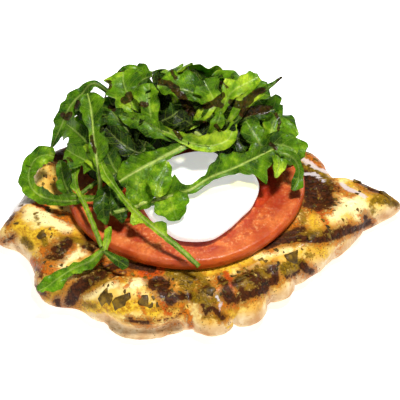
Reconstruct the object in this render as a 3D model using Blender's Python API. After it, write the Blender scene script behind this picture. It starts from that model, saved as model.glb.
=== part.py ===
"""A chicken burger served without bread: a grilled chicken breast with a tomato slice, a mozzarella slice and rocket.

+Z is up and the breast lies on z = 0. Sizes and places are in millimetres, in a working frame that has its origin
under the middle of the dish and -Y towards the front. Each finished mesh is in metres, and all of them are moved
together at the end, so that the middle of the model's box lies over the origin.
"""

import math
import random
from collections import namedtuple

import bmesh
import bpy
import numpy as np

MM = 0.001
GAP = 0.3  # left between pieces that lie on each other

# Chicken breast. The outline is what a plan shows, anticlockwise from the right tip.
BREAST_HEART = (-4.0, -26.0)
BREAST_OUTLINE = [
    (84, -8.5), (77, -14.5), (69.5, -20), (62, -28), (53, -40.5), (43, -47), (33, -58), (21, -70), (7, -77),
    (-3, -77), (-14, -79), (-28, -79), (-39, -73), (-48, -65), (-59.5, -63), (-66, -56), (-67, -43),
    (-73, -34), (-81, -30), (-81, -25), (-76, -14.5), (-71.5, -3), (-68.5, 7), (-62, 17), (-51, 24), (-38, 29.5),
    (-20, 37), (7, 40.5), (25, 33), (35, 24), (50, 14), (56, 2), (66, 0), (76, -3.5),
]  # fmt: skip
BREAST_THICK = 18.0
BREAST_TIP_DROP = 5.0  # how much thinner it is at the left and right tips
BREAST_FRONT_DROP = 2.5
BREAST_EDGE = 11.0  # width of the rounded edge in plan
BREAST_WAIST = 7.0  # height of the widest line of the edge
# Muscle lobes on the top: x, y, long radius, short radius, turn in degrees, height.
LOBES = [
    (-33, -66, 30, 10, -6, 3.4),
    (14, -66, 20, 9, 28, 3.0),
    (44, -38, 24, 8, 36, 2.2),
    (61, -14, 13, 8, 8, 2.8),
    (-66, -26, 12, 13, 0, 2.0),
    (-58, -47, 8, 5, 35, 2.6),
    (-63, -55, 6, 5, 35, 1.5),
    (50, 4, 12, 7, -35, 2.0),
    (-62, 5, 13, 9, 40, 4.5),
]
# Creases between the lobes: two ends in plan, width, depth.
CREASES = [
    ((-74, -43), (-46, -50), 3.5, 3.5),
    ((-3, -84), (-5, -64), 2.6, 5.0),
    ((32, -68), (27, -56), 2.6, 4.0),
    ((45, -56), (38, -46), 2.6, 3.0),
    ((68, -27), (58, -17), 3.0, 2.5),
    ((60, 6), (52, -4), 3.0, 2.5),
]
# Rounded lumps low on the edge: direction from the heart in degrees, half width in degrees, bulge.
KNUCKLES = [
    (-79.5, 9.0, 4.0), (-61.0, 8.5, 4.5), (-40.0, 7.0, 3.5), (-24.5, 8.0, 3.0), (-4.0, 7.0, 2.5), (8.5, 4.0, 3.0),
    (-112.0, 12.0, 3.0), (-139.0, 12.0, 2.0), (-171.0, 10.0, 2.0),
]  # fmt: skip
FOLD_FROM, FOLD_TO = -129.0, -92.0  # the stretch of the edge where an upper lobe overhangs a lower layer
FOLD_DEPTH = 3.6
# Chopped herbs that lie on the breast: x, y, length, width, turn in degrees.
HERBS = [
    (-31, -73, 7, 3.6, 8), (-36, -71, 3, 3, 40), (-22, -73.6, 4.2, 3.2, -15), (-38, -70, 4, 3.6, 20),
    (-58.5, -62, 4.5, 2.6, -60), (45, -38.5, 3.6, 3.2, 10), (37, -48, 6, 3.6, 25), (78.5, -9, 5, 3, -50),
    (-64, -36, 4, 3, 30), (4, -70, 4, 3.4, -30), (16, -63, 4.4, 3, 35), (66, 1, 3.4, 3, 15),
]  # fmt: skip
HERB_RISE, HERB_ROOT = 0.8, 1.2  # how far a piece of herb stands out of the meat, and how deep it reaches into it

# Tomato slice
TOMATO_HEART = (-6.0, -9.5)
TOMATO_RADIUS = 48.5
TOMATO_THICK = 5.0
TOMATO_EDGE = 1.8

# Mozzarella slice: radius by direction, in degrees, anticlockwise from +X.
MOZZARELLA_HEART = (-1.0, -22.5)
MOZZARELLA_RADII = [
    (-149, 23.5), (-123, 24.5), (-105, 26.5), (-80, 26), (-60, 23.5), (-36, 22), (-13, 23.5), (15, 25.5),
    (50, 24.5), (90, 23), (135, 22.5), (175, 24),
]  # fmt: skip
MOZZARELLA_THICK = 6.5
MOZZARELLA_EDGE = 3.0
MOZZARELLA_CROWN = 1.0

# Rocket: the heap's own middle and half sizes, its packed core, and the leaves.
HEAP_HEART = (-8.0, 9.0, 20.0)
HEAP_HALF = (46.0, 33.0, 33.5)
CORE_HEART = (-12.0, 14.0)
CORE_OUTLINE = [
    (38, 8), (33, -3), (21, -1), (8, 1), (-6, 0), (-17, -3), (-25, -11), (-35, -20), (-46, -21), (-53, -12),
    (-54, 1), (-48, 13), (-38, 25), (-22, 33), (-4, 36), (14, 33), (29, 23),
]  # fmt: skip
CORE_HEIGHT = 25.0
LEAF_THICK = 0.9
RIB_RADIUS = 1.1
ROOT_REACH, ROOT_DEPTH = 13.0, 2.5  # how far outside the core a stalk is led back to it, and how deep into it
# Added to the heap's own outward direction, to turn the blades of its front and of its back to the light.
OUTLOOK_FRONT, OUTLOOK_BACK = np.array([0.0, -1.4, 1.4]), np.array([0.0, 0.3, 0.4])
# A leaf's path is its midrib from the stalk's end to the tip. Its outline gives, by share of the path's points, how far
# the blade reaches to the left and to the right, seen from outside the heap. Roll is in degrees; fold is a slope.
Leaf = namedtuple("Leaf", "path outline roll fold")
PLAIN = [(0, 0.8, 0.8), (0.2, 1, 1), (0.4, 3.4, 3.4), (0.65, 4, 4), (0.87, 2.8, 2.8), (1, 0.5, 0.5)]
LOBED = [
    (0, 0.8, 0.8), (0.14, 0.9, 0.9), (0.26, 4, 3), (0.36, 1.5, 1.6), (0.46, 4.5, 5.6), (0.56, 1.9, 2.2),
    (0.7, 5.4, 5.2), (0.88, 4.2, 4.2), (1, 0.8, 0.8),
]  # fmt: skip
# Leaves that can be told apart.
LEAVES = [
    # the left end: a long arched leaf, a curled one, and what lies between them
    Leaf([(-27, 12, 36), (-42, 19, 48), (-48.7, 16.3, 45), (-53.6, 12.7, 41), (-57.3, 9.6, 33), (-61.5, 5.3, 25)],
         [(0, 0.8, 0.8), (0.2, 1.2, 1.2), (0.4, 3.8, 3.2), (0.6, 4.8, 4), (0.8, 3.6, 3.4), (1, 0.4, 0.4)],
         10, 0.1),
    Leaf([(-39.6, -24.7, 27), (-47.4, -24.4, 25), (-55.3, -23.6, 23), (-62.7, -20.3, 21.5), (-67.7, -15.7, 21),
          (-70.1, -10.3, 22), (-69.7, -5.8, 24.5), (-66.8, -3, 27.5), (-62.7, -2.2, 28.5), (-59.8, -2.9, 28)],
         [(0, 0.9, 0.9), (0.1, 1.6, 1.4), (0.22, 4.4, 3), (0.33, 4.8, 3.8), (0.44, 4.4, 3.2), (0.55, 5.4, 2.8),
          (0.65, 4.2, 3.2), (0.76, 3.4, 4.4), (0.87, 4.2, 3.4), (0.95, 3.6, 3.4), (1, 1.8, 2.2)], -8, 0.1),
    Leaf([(-50.3, -23.7, 26), (-54.5, -17.4, 25), (-56.1, -10.8, 26), (-57.3, -5.2, 28)],
         [(0, 1, 1), (0.3, 3, 4), (0.6, 2.8, 4.6), (0.85, 2.4, 3.6), (1, 0.6, 0.6)], -5, 0.2),
    Leaf([(-39.6, -25.7, 28), (-40.4, -20.3, 32), (-41.7, -14.7, 38), (-42.9, -8, 43), (-43.7, -0.3, 47),
          (-44.6, 5.4, 50), (-45.8, 10.3, 51)],
         [(0, 0.9, 0.9), (0.17, 1, 1), (0.3, 1.2, 1.2), (0.38, 2, 5.5), (0.46, 2.4, 6.5), (0.55, 1.6, 2.4),
          (0.66, 3.6, 4.4), (0.78, 4.6, 6.2), (0.9, 3.8, 5.4), (0.97, 2.6, 3), (1, 1, 1)], 0, 0.15),
    Leaf([(-41.3, -10.7, 37), (-46.2, -5.2, 39), (-51.2, 0.8, 39.5), (-54.5, 5.8, 38)],
         [(0, 0.9, 0.9), (0.2, 2, 2), (0.45, 6.5, 4.5), (0.62, 4, 3.4), (0.82, 7, 5), (0.93, 5, 3.6), (1, 1.5, 1.5)],
         0, 0.15),
    Leaf([(-32, 2, 40), (-43, 8, 44), (-51, 10, 42)], LOBED, 10, 0.3),
    Leaf([(-39.6, -16.3, 35), (-45.4, -13.3, 35.5), (-50.3, -10.3, 36), (-54.5, -5.8, 35)],
         [(0, 0.8, 0.8), (0.14, 1.4, 1.2), (0.3, 5, 3.6), (0.42, 2.6, 2.6), (0.6, 6, 5), (0.75, 3.4, 3), (0.9, 4, 4),
          (1, 0.8, 0.8)], 0, 0.2),
    Leaf([(-31.4, -25.2, 31), (-34.7, -18.4, 33), (-36.3, -12.7, 36), (-36.3, -8.5, 40)],
         [(0, 1, 1), (0.2, 2.4, 3), (0.42, 5, 3.4), (0.56, 2.6, 3), (0.74, 4.6, 4.4), (0.9, 3, 3), (1, 0.8, 0.8)],
         0, 0.2),
    # the front left: two stems, the leaf that lies on the breast, and small leaflets
    Leaf([(-38.8, -51.8, 25), (-41.3, -44.1, 26), (-43.7, -37, 26.5), (-46.6, -28.8, 27), (-49.5, -22.2, 28),
          (-50.7, -16.7, 29.5), (-50.3, -9.8, 32), (-49.1, -4.8, 34)],
         [(0, 1, 1), (0.3, 1.1, 1.1), (0.55, 1, 1), (0.62, 2.4, 1), (0.7, 1, 1.2), (0.85, 2.2, 2.6), (1, 0.8, 0.8)],
         0, 0.2),
    Leaf([(-38.4, -53, 25), (-43.3, -56.8, 23), (-47.9, -58.3, 21.5), (-52, -60.2, 20.5), (-56.1, -62.8, 19),
          (-60.2, -65.4, 17), (-63.5, -67, 14.5)],
         [(0, 0.9, 0.9), (0.1, 2.2, 1.6), (0.2, 3.4, 1.8), (0.3, 2.4, 1.4), (0.38, 2.8, 2.2), (0.48, 1.9, 1.8),
          (0.6, 3.4, 2.6), (0.72, 4.6, 3.2), (0.85, 4, 3.8), (0.94, 3.2, 3), (1, 1.2, 1.2)], 0, 0.05),
    Leaf([(-0.4, -61, 24), (-8.3, -55, 28.2), (-16.5, -48.7, 31.4), (-23.1, -41.5, 31.8), (-29.7, -33.8, 33.4),
          (-35, -26.7, 36), (-38.2, -21.4, 37.2), (-40.6, -13, 37.5)],
         [(0, 1, 1), (0.14, 1.2, 1.2), (0.24, 1.3, 1.3), (0.28, 1.3, 5.4), (0.33, 1.3, 1.6), (0.4, 1.3, 1.2),
          (0.44, 5.4, 1.2), (0.49, 1.6, 1.2), (0.66, 1.1, 1.1), (0.78, 2.4, 2), (0.9, 1.6, 1.6), (1, 0.8, 0.8)],
         0, 0.1),
    Leaf([(-38, -54.2, 25), (-36.7, -48.7, 26.5), (-35.9, -42.2, 27)],
         [(0, 0.8, 0.8), (0.4, 1.6, 1.4), (0.8, 1.8, 1.2), (1, 0.5, 0.5)], 0, 0.2),
    Leaf([(-38, -53.6, 25), (-34.2, -57.1, 25), (-30.9, -59.5, 24.5), (-28.5, -60.3, 23)],
         [(0, 0.8, 0.8), (0.35, 1.6, 1.8), (0.6, 2.4, 2.2), (0.85, 2.4, 2), (1, 0.8, 0.8)], 0, 0.1),
    Leaf([(-34, -19, 33), (-38.8, -29, 29), (-37.5, -41, 27)], PLAIN, 0, 0.2),
    Leaf([(-34, -18, 33), (-33, -31, 29.5), (-31, -41, 28)], PLAIN, 20, 0.3),
    # over the mozzarella
    Leaf([(-35.9, -36.6, 29), (-24.8, -34.5, 31), (-14.4, -32.3, 33.5), (-4.1, -29.2, 35), (4, -23.7, 36.5),
          (12.4, -19.8, 37.3), (20.6, -14.9, 37.8), (29.7, -8.8, 38)],
         [(0, 1, 1), (0.14, 1.2, 1.2), (0.24, 1.3, 2.2), (0.28, 1.5, 2), (0.33, 4, 1.6), (0.37, 8.5, 1.5),
          (0.4, 3, 1.5), (0.44, 1.8, 2), (0.55, 2, 1.8), (0.61, 5.4, 1.6), (0.68, 7.6, 1.8), (0.76, 6, 3),
          (0.83, 4, 6), (0.88, 3.6, 12.5), (0.92, 3.4, 7), (0.97, 3, 4.5), (1, 1.4, 1.4)], 0, 0.1),
    Leaf([(-12.6, -30.6, 33.5), (-11.4, -35.3, 33.2), (-10.3, -39.4, 32.4), (-9.1, -43.4, 31)],
         [(0, 3, 3), (0.2, 7.4, 6.6), (0.45, 7, 8), (0.7, 5.6, 6), (0.9, 3.4, 3.6), (1, 1.2, 1.2)], 0, 0.05),
    Leaf([(-17.3, -34, 35.8), (-16.1, -29.5, 38), (-14.9, -24.6, 39.8), (-13.2, -19.8, 41.6)],
         [(0, 1.6, 1.6), (0.25, 4.8, 4.6), (0.5, 5.4, 4.6), (0.75, 4.2, 3.6), (0.92, 2, 2), (1, 0.8, 0.8)],
         0, 0.1),
    Leaf([(0, -7.4, 43), (-6.2, -11.1, 42), (-16.5, -16.7, 40), (-24.8, -21.1, 38), (-32.6, -24.5, 35)],
         [(0, 1.3, 1.3), (0.2, 1.5, 1.8), (0.38, 1.6, 3), (0.48, 2.4, 4), (0.58, 6, 5), (0.7, 9, 6.4), (0.85, 8, 6.4),
          (0.95, 5, 4), (1, 2, 2)], 0, 0.15),
    Leaf([(-21.5, -1.7, 46), (-12.4, -7, 45), (-4.1, -10.8, 43.5), (4.1, -11.6, 42.5), (11.5, -8.5, 43.5),
          (14, -1.5, 46.5)],
         [(0, 1.2, 1.2), (0.2, 2, 1.5), (0.35, 3.2, 1.6), (0.5, 4, 2.6), (0.62, 5.4, 2.6), (0.76, 5, 3),
          (0.88, 2.8, 2.2), (1, 1, 1)], 0, 0.3),
    # the right end
    Leaf([(14, -2, 46), (20.6, 4.6, 52), (26.8, 8, 55), (33.4, 12.6, 58)],
         [(0, 0.9, 0.9), (0.3, 1.6, 1.1), (0.6, 1.8, 1.1), (1, 0.4, 0.4)], 20, 0.5),
    Leaf([(12, 0, 46), (17, 3.5, 51), (23, 7, 54), (28.5, 11, 55)],
         [(0, 0.9, 0.9), (0.35, 3.2, 2.6), (0.6, 2.8, 2.4), (0.85, 2, 2), (1, 0.5, 0.5)], 0, 0.3),
    Leaf([(6, 1, 45), (12.4, 7, 54), (17.7, 9.5, 56.5), (24, 12.8, 58)],
         [(0, 0.9, 0.9), (0.25, 2.4, 2.4), (0.42, 6.4, 3.4), (0.55, 3, 3), (0.7, 3.6, 3.4), (0.88, 4, 3.6), (1, 1.6, 1.6)],
         0, 0.1),
    Leaf([(12, 0, 42), (20.6, 2.6, 46), (25.6, 3.6, 46.6), (30.5, 5.2, 47)],
         [(0, 0.9, 0.9), (0.35, 2.6, 2.5), (0.7, 3, 3), (0.9, 2, 2), (1, 0.5, 0.5)], 0, 0.2),
    Leaf([(24, -8, 37), (28, -5, 40), (29.7, 0.8, 43), (32.2, 5.2, 45)],
         [(0, 0.9, 0.9), (0.35, 3.4, 3), (0.6, 4.4, 4.2), (0.85, 3.4, 3.6), (1, 1, 1)], 0, 0.15),
    Leaf([(22, -6, 38), (30, -6.5, 38.5), (36, -7, 37.5), (39.5, -9, 36)],
         [(0, 0.9, 0.9), (0.3, 5, 3.4), (0.6, 5.6, 5), (0.85, 3.4, 4.4), (1, 1, 1)], 0, 0.2),
    Leaf([(31.4, -9.2, 36), (31.8, -14.1, 34.5), (30.5, -20.2, 33)],
         [(0, 2, 2), (0.35, 4, 3.2), (0.7, 2.6, 2.2), (1, 0.6, 0.6)], 0, 0.15),
    Leaf([(29, -9, 36.5), (36, -10.5, 36), (39.5, -12.5, 33), (40, -16, 29.5), (37.5, -21.5, 27)],
         [(0, 1, 1), (0.3, 2.2, 2), (0.55, 1.8, 1.6), (0.75, 2, 2), (0.9, 2.8, 2.6), (1, 0.8, 0.8)], 0, 0.2),
    Leaf([(26, -11, 38), (22.7, -6, 42), (18.6, 0.5, 45)],
         [(0, 1, 1), (0.25, 5.5, 4), (0.4, 3, 2.4), (0.6, 5.6, 5), (0.85, 4, 4), (1, 1, 1)], 0, 0.2),
    Leaf([(3, -5, 41), (6.5, -4, 46.5), (8.5, 1, 50)],
         [(0, 1, 1), (0.3, 2.2, 2.4), (0.6, 2.8, 2.8), (0.85, 2, 2), (1, 0.4, 0.4)], 0, 0.3),
    # the top
    Leaf([(6.2, 6.5, 50), (-4.1, 7, 55), (-11.5, 8.5, 56), (-17.3, 10, 56)],
         [(0, 1.5, 1.5), (0.2, 4, 5), (0.33, 3, 7.6), (0.48, 5, 9), (0.6, 3, 5.5), (0.73, 4, 8), (0.87, 3, 4),
          (1, 1, 1)], 0, 0.1),
    Leaf([(-10, 5, 50), (-11, 11, 55.5), (-13, 15.5, 58)],
         [(0, 1, 1), (0.4, 2, 2), (0.7, 1.6, 1.6), (1, 0.4, 0.4)], 0, 0.4),
    Leaf([(8, 3, 46), (4, 8, 54), (1.5, 12, 57)],
         [(0, 0.8, 0.8), (0.2, 3, 3), (0.36, 6, 4.6), (0.5, 4, 3.4), (0.66, 7, 5.4), (0.84, 5, 5.2), (1, 1.2, 1.2)],
         0, 0.15),
    Leaf([(-24.5, -1.2, 44.4), (-28.6, 6.3, 51), (-31, 12, 55), (-31.4, 17.5, 57)],
         [(0, 1.2, 1.2), (0.18, 3, 3), (0.32, 7, 3.4), (0.44, 5, 5.2), (0.57, 8.6, 5), (0.68, 6, 8.6), (0.78, 7.4, 7.4),
          (0.88, 5.4, 8.4), (0.96, 3.4, 6), (1, 1.4, 2.4)], 0, 0.1),
    Leaf([(-19, -4, 44), (-20.6, 3.4, 51.5), (-20.6, 12, 55)],
         [(0, 1, 1), (0.25, 3.6, 3), (0.45, 3.4, 4.4), (0.65, 6, 4), (0.87, 5.2, 3.4), (1, 1, 1)], 0, 0.2),
    Leaf([(-10.3, -8, 42.6), (-20.6, -3.2, 46.6), (-33, 1, 48)],
         [(0, 1, 1), (0.2, 2.4, 2), (0.42, 5.4, 3), (0.6, 4.2, 3), (0.85, 3.4, 2), (1, 0.6, 0.6)], 0, 0.3),
    Leaf([(-24, -13, 40), (-32, -10, 43), (-38, -3.5, 45)],
         [(0, 1, 1), (0.3, 4, 3.4), (0.55, 3, 4.4), (0.85, 3.6, 3.2), (1, 1, 1)], 0, 0.4),
]  # fmt: skip
# Leaves that only fill the heap, spread over its top, sides and back by the golden angle.
FILLERS = 22
FILLER_SEED = 11
FILLER_TOP = 74.0  # the most that height and distance to the back may add up to
GOLDEN_ANGLE = math.pi * (3 - math.sqrt(5))

# How finely the faceted solids are cut.
BREAST_SPOKES, BREAST_EDGE_STEPS, BREAST_TOP_RINGS = 80, 8, 7
SLICE_SPOKES = 40
CORE_SPOKES = 30


def smoothstep(value):
    value = np.clip(value, 0.0, 1.0)
    return value * value * (3 - 2 * value)


def catmull_rom(points, share, closed=False):
    """Points of a smooth curve through the given ones, at shares of the way from 0 to 1."""
    points = np.asarray(points, float)
    if closed:
        points = np.vstack([points[-1:], points, points[:2]])
    else:
        points = np.vstack([2 * points[0] - points[1], points, 2 * points[-1] - points[-2]])
    spans = len(points) - 3
    place = np.clip(np.asarray(share, float), 0, 1) * spans
    first = np.minimum(place.astype(int), spans - 1)
    u = (place - first)[:, None]
    a, b, c, d = (points[first + k] for k in range(4))
    return 0.5 * (2 * b + (c - a) * u + (2 * a - 5 * b + 4 * c - d) * u**2 + (3 * b - a - 3 * c + d) * u**3)


def polar(x, y, heart):
    return np.hypot(x - heart[0], y - heart[1]), np.arctan2(y - heart[1], x - heart[0])


def outline_radius(points, heart, samples=720):
    """The radius of a closed outline as a function of direction, in radians."""
    curve = catmull_rom(points, np.linspace(0, 1, samples, endpoint=False), closed=True)
    radius, angle = polar(curve[:, 0], curve[:, 1], heart)
    return lambda theta: np.interp(theta, *sort_by(angle, radius), period=2 * math.pi)


def sort_by(key, value):
    order = np.argsort(key)
    return key[order], value[order]


breast_radius = outline_radius(BREAST_OUTLINE, BREAST_HEART)
mozzarella_radius = outline_radius(
    [(r * math.cos(math.radians(a)), r * math.sin(math.radians(a))) for a, r in MOZZARELLA_RADII], (0.0, 0.0)
)
core_radius = outline_radius(CORE_OUTLINE, CORE_HEART)


def tomato_radius(theta):
    """Nearly round, with the faint corners of a beef tomato."""
    return TOMATO_RADIUS * (1 + 0.008 * np.cos(5 * theta + 0.6) + 0.006 * np.cos(2 * theta - 0.4))


def dome(x, y):
    """The height of the breast without its relief."""
    along = (x - BREAST_HEART[0]) / 81.0
    across = (y - BREAST_HEART[1]) / 57.0
    return BREAST_THICK - BREAST_TIP_DROP * along**2 - BREAST_FRONT_DROP * across**2


def breast_relief(x, y):
    """Lobes and creases on the breast, pressed flat under the tomato slice."""
    height = np.zeros_like(x)
    for cx, cy, long_radius, short_radius, turn, rise in LOBES:
        c, s = math.cos(math.radians(turn)), math.sin(math.radians(turn))
        u = ((x - cx) * c + (y - cy) * s) / long_radius
        v = ((y - cy) * c - (x - cx) * s) / short_radius
        height += rise * np.exp(-(u**2) - v**2)
    for (x0, y0), (x1, y1), width, depth in CREASES:
        run = (x1 - x0) ** 2 + (y1 - y0) ** 2
        t = np.clip(((x - x0) * (x1 - x0) + (y - y0) * (y1 - y0)) / run, 0, 1)
        away = np.hypot(x - x0 - t * (x1 - x0), y - y0 - t * (y1 - y0))
        height -= depth * (1 - 0.6 * t) * np.exp(-((away / width) ** 2))
    height += 0.35 * np.sin(x / 4.1 + 1.7 * np.sin(y / 6.3)) * np.sin(y / 3.7 + 1.1 * np.sin(x / 7.9))
    radius, theta = polar(x, y, TOMATO_HEART)
    return height * smoothstep((radius - tomato_radius(theta) - 4.0) / 8.0)


def breast_top(x, y):
    return dome(x, y) + breast_relief(x, y)


def breast_surface(x, y):
    """The height of the breast's upper side anywhere inside its outline, its rounded edge included."""
    radius, theta = polar(x, y, BREAST_HEART)
    inner = breast_radius(theta) - BREAST_EDGE
    x_inner = BREAST_HEART[0] + inner * np.cos(theta)
    y_inner = BREAST_HEART[1] + inner * np.sin(theta)
    out = np.clip((radius - inner) / BREAST_EDGE, 0, 1) ** (1 / 0.85)
    up = np.sqrt(1 - out**2) ** 0.85
    edge = BREAST_WAIST + (dome(x_inner, y_inner) - BREAST_WAIST + breast_relief(x, y)) * up
    return np.where(radius < inner, breast_top(x, y), edge)


def knuckle_bulge(theta):
    """How far the rounded lumps stand out of the edge, by direction."""
    bulge = np.zeros_like(theta)
    for direction, half_width, rise in KNUCKLES:
        off = (np.degrees(theta) - direction + 180) % 360 - 180
        bulge = np.maximum(bulge, rise * np.sqrt(np.clip(1 - (off / half_width) ** 2, 0, 1)))
    return bulge


def fold_share(theta):
    """1 along the stretch of the edge that is folded over, fading to 0 at its ends."""
    degrees = np.degrees(theta)
    degrees = np.where(degrees > 0, degrees - 360, degrees)
    return smoothstep((degrees - FOLD_FROM) / 8.0) * smoothstep((FOLD_TO - degrees) / 4.0)


def breast_rings(spokes, edge_steps, top_rings):
    """Rings of points from the flat underside, round the edge and in over the top."""
    theta = 2 * math.pi * np.arange(spokes) / spokes
    inner = breast_radius(theta) - BREAST_EDGE
    x_inner = BREAST_HEART[0] + inner * np.cos(theta)
    y_inner = BREAST_HEART[1] + inner * np.sin(theta)
    above = dome(x_inner, y_inner) - BREAST_WAIST
    rings = []
    for lean in np.radians(np.linspace(-90, 90, edge_steps + 1)):
        out, up = abs(math.cos(lean)) ** 0.85, math.copysign(abs(math.sin(lean)) ** 0.85, lean)
        low = math.exp(-((math.degrees(lean) + 18) / 38) ** 2)
        groove = math.exp(-((math.degrees(lean) + 4) / 15) ** 2)
        lower_layer = math.exp(-((math.degrees(lean) + 45) / 22) ** 2)
        radius = inner + BREAST_EDGE * out
        radius = radius + knuckle_bulge(theta) * low * out
        radius = radius + fold_share(theta) * (1.5 * lower_layer - FOLD_DEPTH * groove) * out
        x = BREAST_HEART[0] + radius * np.cos(theta)
        y = BREAST_HEART[1] + radius * np.sin(theta)
        rise = above * up + breast_relief(x, y) * up if up > 0 else np.full(spokes, BREAST_WAIST * up)
        rings.append(np.column_stack([x, y, np.maximum(BREAST_WAIST + rise, 0.0)]))
    for step in range(1, top_rings + 1):
        share = 1 - step / (top_rings + 1)
        x = BREAST_HEART[0] + inner * share * np.cos(theta)
        y = BREAST_HEART[1] + inner * share * np.sin(theta)
        rings.append(np.column_stack([x, y, breast_top(x, y)]))
    return rings


def slice_rings(heart, radius_of, under, thick, edge, spokes, crown=0.0, inner_rings=3, edge_steps=4):
    """Rings of a slice that lies on the surface under(x, y), from its middle below, round its edge, to the top."""
    theta = 2 * math.pi * np.arange(spokes) / spokes
    radius = radius_of(theta)

    def ring(reach, lift, share):
        x, y = heart[0] + reach * np.cos(theta), heart[1] + reach * np.sin(theta)
        return np.column_stack([x, y, under(x, y) + lift + crown * (lift / thick) * (1 - share**2)])

    rings = [ring((radius - edge) * k / inner_rings, 0.0, k / inner_rings) for k in range(1, inner_rings)]
    for lean in np.radians(np.linspace(-90, 90, edge_steps + 1)):
        rings.append(ring(radius - edge + edge * math.cos(lean), thick * (1 + math.sin(lean)) / 2, 1.0))
    rings += [ring((radius - edge) * k / inner_rings, thick, k / inner_rings) for k in range(inner_rings - 1, 0, -1)]
    return rings


def tomato_under(x, y):
    return dome(x, y) + GAP


def tomato_top(x, y):
    return tomato_under(x, y) + TOMATO_THICK


def mozzarella_under(x, y):
    return tomato_top(x, y) + GAP


def pile_top(x, y):
    """The height of what lies under the rocket, with each slice's step eased as a leaf would lie over it."""
    radius, theta = polar(x, y, TOMATO_HEART)
    on_tomato = smoothstep((tomato_radius(theta) + 7.0 - radius) / 5.5)
    height = breast_top(x, y)
    height = height + on_tomato * np.maximum(tomato_top(x, y) - height, 0)
    radius, theta = polar(x, y, MOZZARELLA_HEART)
    on_mozzarella = smoothstep((mozzarella_radius(theta) + 7.0 - radius) / 5.5)
    rise = MOZZARELLA_THICK + MOZZARELLA_CROWN + GAP
    return height + on_mozzarella * rise


def core_reach(theta):
    return core_radius(theta) * (1 + 0.04 * np.sin(9 * theta))


def core_top(x, y):
    """The packed middle of the heap: a lumpy mound that follows what it lies on."""
    radius, theta = polar(x, y, CORE_HEART)
    share = np.clip(radius / core_reach(theta), 0, 1)
    mound = CORE_HEIGHT * (np.sqrt(1 - share**2.5) + 0.08 * np.sin(x / 5.0) * np.cos(y / 4.0))
    return pile_top(x, y) + 2 * GAP + np.maximum(mound, 1.0)


def core_rings(spokes, rings_up=5):
    theta = 2 * math.pi * np.arange(spokes) / spokes

    def ring(share, height):
        reach = core_reach(theta) * share
        x, y = CORE_HEART[0] + reach * np.cos(theta), CORE_HEART[1] + reach * np.sin(theta)
        return np.column_stack([x, y, height(x, y)])

    below = [ring(k / rings_up, lambda x, y: pile_top(x, y) + 2 * GAP) for k in range(1, rings_up + 1)]
    above = [ring(k / rings_up, core_top) for k in range(rings_up, 0, -1)]
    return below + above


def rooted(leaf):
    """The leaf with its stalk led down into the core, if it starts close to the core but not in it."""
    x, y, z = leaf.path[0]
    radius, theta = polar(x, y, CORE_HEART)
    reach = 0.88 * core_reach(theta)
    if radius > reach + ROOT_REACH:
        return leaf
    short = min(1.0, reach / radius)
    x, y = CORE_HEART[0] + (x - CORE_HEART[0]) * short, CORE_HEART[1] + (y - CORE_HEART[1]) * short
    depth = core_top(x, y) - ROOT_DEPTH
    if short == 1.0 and z < depth:
        return leaf
    spans = len(leaf.path) - 1
    outline = [(0, 0.8, 0.8)] + [((1 + share * spans) / (spans + 1), left, right) for share, left, right in leaf.outline]
    return leaf._replace(path=[(float(x), float(y), float(min(z, depth)))] + leaf.path, outline=outline)


def leaf_rows(leaf, shares, columns):
    """(upper points, lower points) of a leaf, each as rows across the midrib."""
    middle = catmull_rom(leaf.path, shares)
    ahead = catmull_rom(leaf.path, np.minimum(shares + 0.01, 1.0)) - catmull_rom(leaf.path, np.maximum(shares - 0.01, 0))
    ahead /= np.linalg.norm(ahead, axis=1)[:, None]
    face = (middle - HEAP_HEART) / np.square(HEAP_HALF)
    face /= np.linalg.norm(face, axis=1)[:, None]
    back = smoothstep((middle[:, 1:2] - HEAP_HEART[1] - 8.0) / 14.0)
    across = np.cross(ahead, face + OUTLOOK_FRONT * (1 - back) + OUTLOOK_BACK * back)
    across /= np.linalg.norm(across, axis=1)[:, None]
    normal = np.cross(across, ahead)
    turn = math.radians(leaf.roll)
    across, normal = across * math.cos(turn) + normal * math.sin(turn), normal * math.cos(turn) - across * math.sin(turn)
    places, left, right = (np.array(column, float) for column in zip(*leaf.outline))
    upper, lower = [], []
    for u in np.linspace(-1, 1, columns):
        half_width = np.interp(shares, places, left if u < 0 else right)
        slope = leaf.fold * abs(u) * half_width
        point = middle + across * (u * np.maximum(half_width, RIB_RADIUS))[:, None] + normal * slope[:, None]
        half = np.full((len(shares), 1), 0.5 * LEAF_THICK * (1 - 0.45 * u * u))
        point[:, 2] = np.maximum(point[:, 2], pile_top(point[:, 0], point[:, 1]) + half[:, 0] + 3 * GAP)
        upper.append(point + normal * half)
        lower.append(point - normal * half)
    return np.stack(upper, axis=1), np.stack(lower, axis=1)


def filler_leaves():
    """Leaves laid along the heap's own surface, most of them on its back and its ends."""
    draw = random.Random(FILLER_SEED)
    leaves = []
    for number in range(FILLERS):
        bearing = number * GOLDEN_ANGLE
        if math.sin(bearing) < -0.2:
            bearing = -bearing
        rise = math.radians(draw.uniform(4, 66))
        swing, climb = draw.uniform(-0.9, 0.9), draw.uniform(-0.5, 0.35)
        path = []
        for share, reach in ((0.0, 0.66), (0.45, 0.96), (1.0, 1.06)):
            a, e = bearing + swing * share, rise + climb * share
            place = (math.cos(a) * math.cos(e), math.sin(a) * math.cos(e), math.sin(e))
            x, y, z = (h + reach * half * p for h, half, p in zip(HEAP_HEART, HEAP_HALF, place))
            path.append((x, y, min(z, FILLER_TOP - y)))
        size = draw.uniform(1.3, 2.0)
        outline = [(t, l * size, r * size) for t, l, r in draw.choice((PLAIN, LOBED, LOBED))]
        leaves.append(Leaf(path, outline, draw.uniform(-25, 25), draw.uniform(0.1, 0.35)))
    return leaves


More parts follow.
